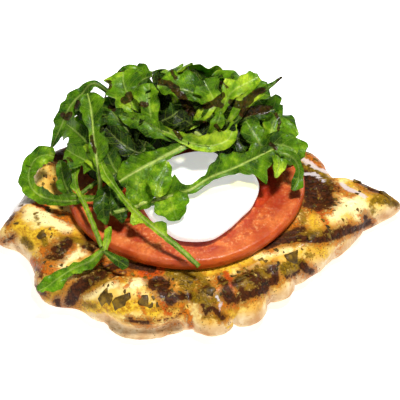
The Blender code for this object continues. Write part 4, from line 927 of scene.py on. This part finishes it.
def chicken_marks(points, normal):
    """Each mark's strength at points of the breast."""
    px, py = wandering_pixels(points, *CHICKEN_WANDER)
    view = np.array([0, -math.cos(VIEW_ELEVATION), math.sin(VIEW_ELEVATION)])
    seen = smoothstep((normal @ view + 0.05) / 0.15)
    marks = {
        key: seen * stroke_mask(px, py, strokes)
        for key, strokes in (("char_and_shade", CHAR_AND_SHADE), ("brown", BROWN), ("red", RED), ("oil", OIL), ("olive", OLIVE),
                             ("cream", CREAM), ("sheen", SHEEN))
    }  # fmt: skip
    marks["halo"] = seen * stroke_mask(px, py, singed(CHAR_AND_SHADE, 2.5))

    def cover(key, share, mask):
        marks[key] = np.maximum(marks[key], share * mask)

    x = points[:, 0] + 2.0 * noise(points, 6.0, seed=3, octaves=3)
    y = points[:, 1] + 2.0 * noise(points, 6.0, seed=4, octaves=3)
    hidden = 1 - seen * (1 - smoothstep((points[:, 1] + 0.25 * np.abs(points[:, 0]) - 14) / 8))
    hidden = hidden * smoothstep((points[:, 2] - 0.6) / 2.0)
    cover("char_and_shade", hidden, stroke_mask(x, y, BACK_BARS))
    cover("halo", hidden, stroke_mask(x, y, singed(BACK_BARS, 1.0)))
    cover("brown", hidden * 0.7, smoothstep(noise(points, 14.0, seed=5, octaves=2) * 3))
    cover("oil", hidden, smoothstep(noise(points, 18.0, seed=6, octaves=2) * 3))
    cover("olive", hidden * 0.8, smoothstep(noise(points, 7.0, seed=7, octaves=2) * 4 - 1))
    under = 1 - smoothstep((points[:, 2] - 0.3) / 1.2)
    bars = np.cos((x + 0.9 * y) / 22.0 * 2 * math.pi)
    cover("char_and_shade", under, smoothstep(bars * 3 - 1.6))
    height = points[:, 2] + 1.2 * noise(points, 8.0, seed=8, octaves=2)
    marks["side"] = 1 - smoothstep((height - 7.5) / 5.0)
    return marks


def chicken_material():
    s = Shader("grilled chicken", 0.42, Specular_IOR_Level=0.12, Coat_Weight=0.03, Coat_Roughness=0.1)
    fine = s.noise(1.6, 4.0, seed=2.0)
    grit = s.noise(0.7, 3.0, seed=21.0)
    grain = s.noise(2.4, 3.0, seed=5.0, stretch=(0.35, 1.2, 1.0))
    edge = s.add(s.swing(fine, 1.2), s.swing(grit, 0.7))

    def mark(key, low, high, spread=1.0):
        return s.map(s.add(s.value(key), s.times(edge, spread)), low, high)

    def tones(dark, light):
        return s.ramp(s.add(0.5, edge), [(0.3, *dark), (0.66, *light)])

    colour = s.ramp(s.noise(9.0, 4.0), [(0.3, 220, 164, 64), (0.5, 234, 194, 92), (0.68, 244, 220, 140)])
    colour = s.mix(s.map(grain, 0.45, 0.7, 0.0, 0.4), colour, tint(206, 148, 50))
    side = s.ramp(s.noise(5.0, 4.0, seed=9.0), [(0.3, 190, 142, 92), (0.52, 214, 180, 132), (0.7, 234, 212, 170)])
    colour = s.mix(s.value("side"), colour, side)
    top = s.less(1.0, s.times(s.value("side"), 0.75))
    toast = s.map(s.add(s.noise(6.5, 4.0, seed=15.0), s.times(edge, 0.4)), 0.48, 0.7, 0.0, 0.8)
    colour = s.mix(s.times(toast, top), colour, tones((140, 76, 14), (212, 146, 44)))
    colour = s.mix(mark("oil", 0.15, 0.9), colour, tones((168, 108, 10), (232, 192, 54)))
    colour = s.mix(mark("cream", 0.2, 0.95), colour, tint(246, 226, 160))
    halo = s.times(mark("halo", 0.15, 0.85), 0.85)
    colour = s.mix(halo, colour, tones((88, 42, 8), (184, 108, 28)))
    colour = s.mix(mark("brown", 0.15, 0.9, 1.2), colour, tones((104, 44, 6), (200, 112, 28)))
    colour = s.mix(mark("olive", 0.15, 0.8, 1.3), colour, tones((64, 48, 6), (146, 112, 22)))
    colour = s.mix(mark("red", 0.25, 1.1), colour, tones((128, 32, 6), (196, 78, 20)))
    near = s.add(s.value("halo"), s.add(s.value("olive"), s.value("brown")))
    sparse = s.map(s.add(s.noise(6.0, 2.0, seed=12.0), s.times(near, 0.25)), 0.52, 0.66)
    speck = s.map(s.cells(1.2, "F1", seed=3.0), 0.3, 0.16)
    colour = s.mix(s.times(s.times(speck, sparse), 0.8), colour, tint(80, 46, 10))
    # Char, and the heap's shade painted as char right of the tomato.
    char_and_shade = s.add(s.value("char_and_shade"), s.times(edge, 1.3))
    colour = s.mix(s.map(char_and_shade, 0.3, 0.85), colour, tones((8, 3, 1), (76, 36, 8)))
    colour = s.mix(s.times(mark("sheen", 0.3, 0.8), 0.75), colour, tint(214, 204, 204))
    relief = s.add(s.times(fine, 0.6), s.times(grain, 0.5))
    relief = s.add(relief, s.times(grit, 0.3))
    rough = s.map(s.add(s.value("char_and_shade"), s.noise(4.0, 2.0, seed=7.0)), 0.4, 1.5, 0.28, 0.5)
    return s.finish(colour, s.bump(relief, 0.6, 0.9), rough)


def make_chicken():
    grid = breast_rings()
    points, normal = ring_points(grid)
    marks = chicken_marks(points, normal)
    bare = bare_of_tomato(points[:, 0], points[:, 1], 0.5, 4.0) * smoothstep(points[:, 2] / 3.0)
    stretched = points * (0.35, 1.0, 1.0)
    lift = 0.35 * noise(points, 7.0, seed=21, octaves=2) + 0.22 * noise(stretched, 1.8, seed=22, octaves=2)
    crust = np.clip(marks["char_and_shade"] + 0.6 * marks["brown"] + 0.6 * marks["olive"], 0, 1)
    lift += crust * (0.45 * noise(points, 1.9, seed=23, octaves=2) + 0.1)
    lift -= 0.35 * smoothstep(marks["char_and_shade"] * 1.4 - 0.5)
    lift += 0.25 * marks["cream"]
    points = points + normal * (lift * bare)[:, None]
    points[:, 2] = np.maximum(points[:, 2], 0.0)
    ends = np.array([[*BREAST_HEART, 0.0], [*BREAST_HEART, float(breast_top(*map(np.array, BREAST_HEART)))]])
    make_ring_piece("chicken", points, grid.shape[:2], ends, chicken_material(), "chicken_breast", marks)


def herb_material():
    s = Shader("chopped herbs", 0.45, Specular_IOR_Level=0.2, Coat_Weight=0.05, Coat_Roughness=0.2)
    patch = s.noise(3.0, 3.0)
    colour = s.ramp(patch, [(0.3, 48, 34, 6), (0.5, 90, 66, 14), (0.7, 140, 108, 30)])
    return s.finish(colour, s.bump(s.noise(0.8, 3.0, seed=1.0), 0.3))


def flake(x, y, length, width, turn, rise, draw):
    """Points and faces of a torn flat piece that lies on the meat."""
    corners, c, s = 9, math.cos(math.radians(turn)), math.sin(math.radians(turn))
    points = []
    for lift, size in ((-0.5, 1.0), (rise * 0.75, 1.0), (rise, 0.8)):
        for k in range(corners):
            a = 2 * math.pi * k / corners
            wobble = 1 + 0.22 * math.sin(3 * a + x) + 0.16 * math.cos(2 * a + 2 * y)
            u = 0.5 * size * length * wobble * math.copysign(abs(math.cos(a)) ** 0.6, math.cos(a))
            v = 0.5 * size * width * wobble * math.copysign(abs(math.sin(a)) ** 0.6, math.sin(a))
            points.append([x + u * c - v * s, y + u * s + v * c, lift])
    points.append([x, y, rise * draw.uniform(0.7, 1.1)])
    points = np.array(points)
    points[:, 2] += breast_surface(points[:, 0], points[:, 1])
    faces = [(r * corners + k, r * corners + (k + 1) % corners, (r + 1) * corners + (k + 1) % corners,
              (r + 1) * corners + k) for r in range(2) for k in range(corners)]  # fmt: skip
    faces += [(2 * corners + k, 2 * corners + (k + 1) % corners, 3 * corners) for k in range(corners)]
    faces.append(tuple(range(corners - 1, -1, -1)))
    return points, faces


def join_parts(parts):
    """One set of points and faces from several."""
    points, faces, start = [], [], 0
    for more, its_faces in parts:
        points.append(more)
        faces += [tuple(k + start for k in face) for face in its_faces]
        start += len(more)
    return np.vstack(points), faces


def make_herbs():
    """The chopped herbs of the CAD model and smaller flecks of the same, strewn over the breast away from the tomato.
    """
    draw = random.Random(FLECK_SEED)
    parts = [flake(x, y, length, width, turn, HERB_RISE, draw) for x, y, length, width, turn in HERBS]
    count = 0
    while count < FLECKS:
        a, share = draw.uniform(0, 2 * math.pi), math.sqrt(draw.uniform(0.25, 0.98))
        reach = float(breast_radius(a)) - 3.0
        x, y = BREAST_HEART[0] + share * reach * math.cos(a), BREAST_HEART[1] + share * reach * math.sin(a)
        if float(bare_of_tomato(np.array(x), np.array(y), 1.5, 1.0)) < 1:
            continue
        size = draw.uniform(0.5, 1.5)
        parts.append(flake(x, y, size * draw.uniform(1, 1.8), size, draw.uniform(0, 180), FLECK_RISE, draw))
        count += 1
    points, faces = join_parts(parts)
    make_piece("chopped_herbs", points, faces, herb_material(), "chicken_breast")


def tomato_material():
    s = Shader("tomato", 0.3, Specular_IOR_Level=0.3, Coat_Weight=0.08, Coat_Roughness=0.15,
               Subsurface_Weight=0.15, Subsurface_Scale=0.002)
    fine = s.noise(1.1, 3.0)
    patch = s.noise(7.0, 4.0, seed=3.0)
    flesh = s.ramp(patch, [(0.3, 160, 56, 18), (0.5, 188, 86, 34), (0.68, 208, 116, 52)])
    fibre = s.map(fine, 0.5, 0.7, 0.0, 0.45)
    flesh = s.mix(fibre, flesh, tint(234, 168, 104))
    flesh = s.mix(s.map(s.noise(2.2, 3.0, seed=9.0), 0.5, 0.36, 0.0, 0.6), flesh, tint(150, 44, 16))
    gel = s.ramp(s.noise(4.0, 3.0, seed=5.0), [(0.35, 140, 26, 4), (0.65, 180, 60, 12)])
    colour = s.mix(s.value("gel"), flesh, gel)
    # Deeper red: painted shade under the leaves and behind the stems, and dark red blotches.
    colour = s.mix(s.value("shade_and_blotches"), colour, tint(150, 34, 8))
    colour = s.mix(s.value("wall"), colour, s.ramp(patch, [(0.3, 182, 72, 30), (0.65, 206, 104, 50)]))
    colour = s.mix(s.value("skin"), colour, s.ramp(patch, [(0.3, 172, 56, 12), (0.65, 202, 90, 24)]))
    normal = s.bump(fine, 0.35, 0.7, s.bump(s.noise(3.0, 2.0, seed=8.0), 0.6, 0.6))
    return s.finish(colour, normal, s.map(fine, 0.3, 0.7, 0.32, 0.5))


# Deeper red places of the tomato, in photo pixels: painted shade under the leaves at the right and behind the stems,
# and dark red blotches.
TOMATO_SHADE_AND_BLOTCHES = [
    ([(262, 178), (274, 190), (276, 204)], 12, 0.75), ([(214, 251), (222, 250)], 5.5, 0.9),
    ([(258, 236), (266, 232)], 5, 0.75), ([(228, 238), (246, 226), (256, 212)], 4, 0.6),
    ([(112, 226), (124, 232), (140, 238)], 6, 0.6), ([(84, 204), (92, 212)], 6, 0.5),
]  # fmt: skip


def make_tomato():
    grid = slice_rings(TOMATO_HEART, tomato_radius, tomato_under, TOMATO_THICK, TOMATO_EDGE, inner_rings=70)
    points, normal = ring_points(grid)
    radius, theta = polar(points[:, 0], points[:, 1], TOMATO_HEART)
    share = radius / tomato_radius(theta)
    top = smoothstep((normal[:, 2] - 0.7) / 0.2)
    wander = 0.03 * noise(points, 9.0, seed=31, octaves=2)
    chambers = np.cos(5 * theta + 0.9) * 0.5 + 0.5
    pocket = smoothstep((chambers - 0.3) / 0.2) * smoothstep((share + wander - 0.36) / 0.06)
    pocket *= smoothstep((0.80 + 0.04 * np.sin(3 * theta) - share - wander) / 0.06)
    gel = top * pocket
    wall = 0.5 * top * smoothstep((share + wander - 0.86) / 0.04)
    skin = np.maximum(1 - top, smoothstep((share - 0.972) / 0.012))
    lift = 0.25 * noise(points, 5.0, seed=32, octaves=3) - 0.8 * gel + 0.3 * gel * noise(points, 2.2, seed=33)
    lift = top * lift + top * 0.25 * smoothstep((share - 0.9) / 0.05)
    points = points + normal * lift[:, None]
    ends = np.array([[*TOMATO_HEART, height(*TOMATO_HEART)] for height in (tomato_under, tomato_top)])
    shade_and_blotches = top * stroke_mask(*wandering_pixels(points, *TOMATO_WANDER), TOMATO_SHADE_AND_BLOTCHES)
    marks = {"gel": gel, "wall": wall, "skin": skin, "shade_and_blotches": shade_and_blotches}
    make_ring_piece("tomato", points, grid.shape[:2], ends, tomato_material(), "tomato_slice", marks)


def mozzarella_material():
    # Emission makes the mozzarella glow: painted light that whitens its shaded parts.
    s = Shader("mozzarella", 0.32, Specular_IOR_Level=0.5, Coat_Weight=0.2, Coat_Roughness=0.15,
               Subsurface_Weight=0.25, Subsurface_Scale=0.003, Emission_Strength=0.5)
    soft = s.noise(12.0, 3.0)
    colour = s.ramp(soft, [(0.35, 222, 222, 212), (0.65, 230, 230, 224)])
    # Painted leaf shade: the mask named oil tints the mozzarella yellow-green where the leaves shade it.
    colour = s.mix(s.value("oil"), colour, tint(206, 206, 96))
    return s.finish(colour, s.bump(s.noise(4.0, 4.0, seed=2.0), 0.15, 0.5))


# Painted yellow-green shade of the leaves on the mozzarella, tinted by light through them, in photo pixels.
MOZZARELLA_LEAF_SHADE = [
    ([(168, 156), (184, 156), (205, 160)], 6, 0.8), ([(180, 150), (200, 152)], 6, 0.9),
    ([(186, 197), (204, 194), (222, 190), (240, 186)], 4, 0.7), ([(234, 184), (246, 184), (256, 186)], 5, 0.9),
    ([(150, 210), (156, 218)], 3, 0.3),
]  # fmt: skip


def make_mozzarella():
    grid = slice_rings(
        MOZZARELLA_HEART, mozzarella_radius, mozzarella_under, MOZZARELLA_THICK, MOZZARELLA_EDGE,
        crown=MOZZARELLA_CROWN,
    )  # fmt: skip
    points, normal = ring_points(grid)
    points = points + normal * (0.18 * noise(points, 9.0, seed=41, octaves=3) * (normal[:, 2] > -0.5))[:, None]
    # The mask named oil holds the painted yellow-green shade of the leaves.
    oil = stroke_mask(*wandering_pixels(points, *MOZZARELLA_WANDER), MOZZARELLA_LEAF_SHADE)
    oil *= smoothstep((normal[:, 2] - 0.2) / 0.4)
    heart = MOZZARELLA_HEART
    ends = np.array([[*heart, mozzarella_under(*heart)],
                     [*heart, mozzarella_under(*heart) + MOZZARELLA_THICK + MOZZARELLA_CROWN]])
    material = mozzarella_material()
    make_ring_piece("mozzarella", points, grid.shape[:2], ends, material, "mozzarella_slice", {"oil": oil})


# Balsamic glaze on the leaves, in photo pixels.
GLAZE = [
    ([(62, 115), (66, 118), (70, 114)], 4, 1.0), ([(76, 107), (78, 102)], 3, 0.8),
    ([(58, 130), (64, 127)], 2.4, 0.5), ([(91, 136), (92, 142), (94, 152)], 2.2, 1.0),
    ([(108, 82), (109, 87)], 3, 1.0), ([(110, 107), (114, 109)], 3, 0.9), ([(124, 101), (130, 97)], 4, 1.0),
    ([(127, 95), (130, 93)], 3, 0.8), ([(142, 104), (146, 105)], 3.4, 0.9), ([(117, 70), (123, 69)], 3, 1.0),
    ([(169, 65), (173, 74), (176, 78)], 2.6, 0.8), ([(160, 82), (168, 83), (176, 88)], 4, 0.9),
    ([(175, 90), (182, 97), (188, 106)], 4.4, 1.0), ([(186, 104), (192, 112)], 5.5, 1.0),
    ([(206, 106), (214, 103), (222, 96)], 4, 1.0), ([(216, 104), (222, 106)], 3, 0.9),
    ([(222, 82), (228, 88)], 2.4, 0.7), ([(232, 103), (240, 106), (250, 100)], 4, 1.0),
    ([(246, 100), (254, 94), (262, 90)], 4, 1.0), ([(244, 113), (256, 110), (266, 110)], 5.5, 1.0),
    ([(262, 106), (272, 107)], 2.4, 0.7), ([(276, 114), (280, 122), (278, 130)], 2.0, 0.8),
    ([(278, 82), (281, 78)], 2.2, 1.0), ([(175, 131), (180, 138)], 3.0, 0.9), ([(200, 122), (206, 124)], 3.0, 0.8),
    ([(216, 126), (220, 130)], 3.0, 0.7), ([(270, 144), (276, 148)], 3.0, 0.7), ([(26, 166), (30, 167)], 2.0, 0.6),
    ([(68, 158), (72, 162)], 3.0, 0.6), ([(89, 190), (94, 193)], 3.0, 0.7),
]  # fmt: skip


def leaf_grid(leaf, stations, columns):
    """The middle surface of a leaf as rows across its midrib, with its normals, half thickness and places."""
    shares = np.linspace(0, 1, stations)
    middle = catmull_rom(leaf.path, shares)
    ahead = np.gradient(middle, axis=0)
    ahead /= np.linalg.norm(ahead, axis=1)[:, None]
    face = (middle - HEAP_HEART) / np.square(HEAP_HALF)
    face /= np.linalg.norm(face, axis=1)[:, None]
    back = smoothstep((middle[:, 1:2] - HEAP_HEART[1] - 8.0) / 14.0)
    across = np.cross(ahead, face + OUTLOOK_FRONT * (1 - back) + OUTLOOK_BACK * back)
    across /= np.linalg.norm(across, axis=1)[:, None]
    for _ in range(3):
        across[1:-1] = (across[:-2] + 2 * across[1:-1] + across[2:]) / 4
    across -= ahead * np.sum(across * ahead, axis=1)[:, None]
    across /= np.linalg.norm(across, axis=1)[:, None]
    normal = np.cross(across, ahead)
    c, s = math.cos(math.radians(leaf.roll)), math.sin(math.radians(leaf.roll))
    across, normal = across * c + normal * s, normal * c - across * s
    places, left, right = (np.array(column, float) for column in zip(*leaf.outline))
    length = np.concatenate([[0], np.cumsum(np.linalg.norm(np.diff(middle, axis=0), axis=1))])
    seed = abs(leaf.path[0][0] * 3.7 + leaf.path[-1][1] * 1.9 + leaf.path[-1][2])
    rib = RIB_STALK + (RIB_TIP - RIB_STALK) * shares**0.8
    rows, thick, along, aside, rib_mark = [], [], [], [], []
    for u in columns:
        half_width = np.interp(shares, places, left if u < 0 else right)
        margin = 1 + MARGIN_WAVE * np.sin(length * 1.1 + seed + 2 * np.sign(u))
        margin += MARGIN_TEETH * (1 - 2 * np.abs(np.sin(length * 0.8 + 2 * seed + np.sign(u))))
        half_width = np.maximum(half_width * margin, np.minimum(rib, RIB_LEAST))
        blade = smoothstep((half_width - BLADE_FROM) / BLADE_OVER)
        ripple = RIPPLE * np.sin(length / 1.9 + seed + 2.1 * np.sign(u))
        ripple = ripple + RIPPLE_FINE * np.sin(length / 0.95 + 3 * seed)
        slope = (leaf.fold + 0.22) * abs(u) * half_width + blade * u * u * ripple
        slope = slope - blade * 0.05 * (u * half_width) ** 2 * 0.6
        rows.append(middle + across * (u * half_width)[:, None] + normal * slope[:, None])
        off = np.abs(u) * half_width
        round_rib = rib * np.sqrt(np.clip(1 - (off / np.maximum(rib, 1e-6)) ** 2, 0, 1))
        thick.append(np.maximum(BLADE_HALF * (1 - 0.4 * u * u), round_rib))
        along.append(length)
        aside.append(off)
        apart = off / max(leaf.rib, 0.8)
        rib_mark.append(min(leaf.rib, 1.0) * (1 - smoothstep((apart - 0.3 * rib) / (0.8 * rib))))
    grid = np.stack(rows, axis=1)
    half = np.stack(thick, axis=1)
    floor = pile_top(grid[:, :, 0].ravel(), grid[:, :, 1].ravel()).reshape(half.shape) + half + LEAF_GAP
    under = floor - grid[:, :, 2]
    least = (np.sqrt(REST_REACH**2 + REST_EASE) - REST_REACH) / 2
    grid[:, :, 2] += np.where(under > -REST_REACH, (np.sqrt(under**2 + REST_EASE) + under) / 2 - least, 0)
    normals = grid_normals(grid, closed=False)
    facing = np.sum(normals * normal[:, None, :], axis=2)
    normals *= np.where(facing < 0, -1.0, 1.0)[:, :, None]
    return grid, normals, half, np.stack(along, axis=1), np.stack(aside, axis=1), np.stack(rib_mark, axis=1)


def leaf_part(leaf, stations, columns):
    """Points, faces and attributes of one leaf as a thin closed solid."""
    grid, normals, half, along, aside, rib = leaf_grid(leaf, stations, columns)
    rows, columns = half.shape
    upper, lower = grid + normals * half[:, :, None], grid - normals * half[:, :, None]
    points = np.vstack([upper.reshape(-1, 3), lower.reshape(-1, 3)])
    k = np.arange(rows * columns).reshape(rows, columns)
    quads = np.stack([k[:-1, :-1], k[:-1, 1:], k[1:, 1:], k[1:, :-1]], axis=-1).reshape(-1, 4)
    start = rows * columns
    faces = quads.tolist() + (quads[:, ::-1] + start).tolist()
    rim = [(i, 0) for i in range(rows)] + [(rows - 1, j) for j in range(1, columns)]
    rim += [(i, columns - 1) for i in range(rows - 2, -1, -1)] + [(0, j) for j in range(columns - 2, 0, -1)]
    rim = [int(k[place]) for place in rim]
    faces += [(b, a, a + start, b + start) for a, b in zip(rim, rim[1:] + rim[:1])]
    depth = np.sqrt((((points - HEAP_HEART) / HEAP_HALF) ** 2).sum(axis=1))
    marks = {
        "along": np.tile(along.ravel(), 2),
        "aside": np.tile(aside.ravel(), 2),
        "rib": np.tile(rib.ravel(), 2),
        # The tone holds the leaf's own tone, less painted shade deep in the heap.
        "tone": leaf.tone - DEPTH_SHADE * smoothstep((0.97 - depth) / 0.35),
        "back": np.repeat([0.0, 1.0], start),
    }
    front = smoothstep((18.0 - points[:, 1] + 0.6 * (points[:, 2] - 40)) / 8.0)
    marks["glaze"] = stroke_mask(*wandering_pixels(points, *LEAF_WANDER), GLAZE) * front
    return points, faces, marks


def leaf_material():
    s = Shader("rocket leaf", 0.36, Specular_IOR_Level=0.14, Coat_Weight=0.04, Coat_Roughness=0.15,
               Subsurface_Weight=0.3, Subsurface_Scale=0.0015)
    s.surface.inputs["Subsurface Radius"].default_value = (0.6, 1.0, 0.15)
    patch = s.noise(6.0, 3.0)
    mottle = s.noise(1.3, 3.0, seed=11.0)
    tone = s.add(s.add(s.value("tone"), s.swing(patch, 1.2)), s.swing(mottle, 0.3))
    blade = s.ramp(tone, [(0.0, 8, 22, 2), (0.35, 36, 70, 2), (0.62, 90, 132, 4), (1.0, 188, 214, 50)])
    blade = s.mix(s.times(s.value("back"), 0.3), blade, tint(130, 160, 44))
    slant = s.less(s.value("along"), s.times(s.value("aside"), 0.8))
    slant = s.add(slant, s.times(s.noise(4.0, 2.0, seed=4.0), 1.6))
    wave = s.math("ABSOLUTE", s.less(s.math("FRACT", s.math("DIVIDE", slant, 3.4)), 0.5))
    side_vein = s.map(wave, 0.07, 0.015)
    net = s.map(s.cells(1.1, seed=2.0), 0.09, 0.02)
    vein = s.math("MAXIMUM", s.times(side_vein, 0.75), s.times(net, 0.3))
    pale = tint(156, 184, 56)
    colour = s.mix(s.times(vein, 0.4), blade, pale)
    colour = s.mix(s.value("rib"), colour, s.ramp(patch, [(0.3, 158, 186, 66), (0.7, 204, 216, 124)]))
    glaze = s.map(s.add(s.value("glaze"), s.swing(s.noise(2.0, 2.0, seed=6.0), 0.5)), 0.35, 0.6, 0.0, 0.9)
    colour = s.mix(glaze, colour, s.ramp(mottle, [(0.35, 20, 8, 3), (0.65, 68, 34, 14)]))
    height = s.less(s.times(s.noise(1.8, 2.0, seed=8.0), 0.6), vein)
    normal = s.bump(height, 0.6, 0.9)
    return s.finish(colour, normal, s.map(glaze, 0.0, 1.0, 0.4, 0.2))


def core_material():
    s = Shader("heap core", 0.7, Specular_IOR_Level=0.1)
    patch = s.noise(5.0, 3.0)
    # Near-black greens: painted shade of the packed leaves inside the heap.
    colour = s.ramp(patch, [(0.3, 10, 18, 3), (0.5, 24, 40, 6), (0.7, 48, 72, 14)])
    return s.finish(colour, s.bump(s.noise(3.0, 3.0, seed=2.0), 1.0))


def make_leaves(name, leaves, material, stations=LEAF_STATIONS, columns=LEAF_COLUMNS):
    parts = [leaf_part(rooted(leaf), stations, columns) for leaf in leaves]
    points, faces = join_parts([part[:2] for part in parts])
    marks = {key: np.concatenate([part[2][key] for part in parts]) for key in parts[0][2]}
    make_piece(name, points, faces, material, "rocket_heap", marks)


def make_rocket():
    grid = core_rings()
    points, normal = ring_points(grid)
    crumple = 1.6 * noise(points, 6.0, seed=61, octaves=3) * smoothstep((normal[:, 2] + 0.3) / 0.3)
    points = points + normal * crumple[:, None]
    heart = np.array(CORE_HEART)
    floor = pile_top(points[:, 0], points[:, 1]) + CORE_GAP
    points[:, 2] = floor + CORE_SHARE * np.maximum(points[:, 2] - floor, 0)
    points[:, :2] = heart + CORE_SHARE * (points[:, :2] - heart)
    points[:, 2] = np.maximum(points[:, 2], pile_top(points[:, 0], points[:, 1]) + CORE_GAP)
    base = pile_top(*heart) + CORE_GAP
    ends = np.array([[*heart, base], [*heart, base + CORE_SHARE * (core_top(*heart) - base)]])
    make_ring_piece("rocket_core", points, grid.shape[:2], ends, core_material(), "rocket_heap")
    material = leaf_material()
    make_leaves("rocket_leaves", LEAVES, material)
    make_leaves("rocket_outer_leaves", filler_leaves(), material)
    make_leaves("rocket_inner_leaves", inner_leaves(), material, INNER_STATIONS, INNER_COLUMNS)


def frame_shift():
    """From the working frame to the row frame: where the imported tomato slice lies, against its design here."""
    theta = directions(TOMATO_SPOKES)
    x, y = around(TOMATO_HEART, tomato_radius(theta), theta)
    low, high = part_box("tomato_slice")
    middle = (np.array(low) + np.array(high)) / 2 / MM
    return np.array([middle[0] - (x.min() + x.max()) / 2, middle[1] - (y.min() + y.max()) / 2, 0.0])


def plain(name, colour, roughness, glow=0.0):
    material = bpy.data.materials.new(name)
    material.use_nodes = True
    shader = material.node_tree.nodes["Principled BSDF"]
    shader.inputs["Base Color"].default_value = colour
    shader.inputs["Roughness"].default_value = roughness
    shader.inputs["Emission Color"].default_value = (1, 1, 1, 1)
    shader.inputs["Emission Strength"].default_value = glow
    return material


def make_stage():
    """A plain pale floor, a white surrounding and soft lights, the key from above and a little to the right."""
    side = 3000.0
    mesh = bpy.data.meshes.new("floor")
    corners = [(-side, -side, 0), (side, -side, 0), (side, side, 0), (-side, side, 0)]
    mesh.from_pydata([tuple(c * MM for c in corner) for corner in corners], [], [(0, 1, 2, 3)])
    mesh.materials.append(plain("pale floor", (0.9, 0.9, 0.9, 1), 0.9, glow=0.75))
    floor = add_object("floor", mesh)
    floor.location.z = -FLOOR_DROP * MM
    world = bpy.data.worlds.new("white")
    world.use_nodes = True
    world.node_tree.nodes["Background"].inputs["Color"].default_value = (1, 1, 1, 1)
    world.node_tree.nodes["Background"].inputs["Strength"].default_value = 0.12
    bpy.context.scene.world = world
    for name, place, size, power in (
        ("key", (130, -30, 740), 150, 7.4),
        ("fill", (-300, -700, 330), 360, 1.0),
    ):
        lamp = bpy.data.lights.new(name, "AREA")
        lamp.shape, lamp.size, lamp.energy = "DISK", size * MM, power
        light = add_object(name, lamp)
        light.location = Vector(place) * MM
        light.rotation_mode = "QUATERNION"
        light.rotation_quaternion = (-Vector(place)).to_track_quat("-Z", "Y")


def make_camera():
    camera = bpy.data.cameras.new("camera")
    camera.sensor_width = SENSOR
    camera.lens = SENSOR * VIEW_DISTANCE / VIEW_WIDTH
    camera.clip_start, camera.clip_end = 0.01, 10.0
    holder = add_object("camera", camera)
    back = Vector((0, -math.cos(VIEW_ELEVATION), math.sin(VIEW_ELEVATION)))
    holder.location = Vector((VIEW_TARGET + SHIFT) * MM) + back * VIEW_DISTANCE * MM
    holder.rotation_mode = "QUATERNION"
    holder.rotation_quaternion = (-back).to_track_quat("-Z", "Y")
    bpy.context.scene.camera = holder


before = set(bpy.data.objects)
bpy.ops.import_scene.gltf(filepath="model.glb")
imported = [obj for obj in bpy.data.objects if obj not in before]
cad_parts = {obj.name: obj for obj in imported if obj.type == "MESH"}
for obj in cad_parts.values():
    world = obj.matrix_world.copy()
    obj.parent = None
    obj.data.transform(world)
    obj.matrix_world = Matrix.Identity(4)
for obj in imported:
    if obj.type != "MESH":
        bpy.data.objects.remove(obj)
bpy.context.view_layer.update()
SHIFT = frame_shift()
bpy.context.scene.view_settings.view_transform = "Standard"
make_stage()
make_camera()
make_chicken()
make_herbs()
make_tomato()
make_mozzarella()
make_rocket()
bpy.context.view_layer.update()
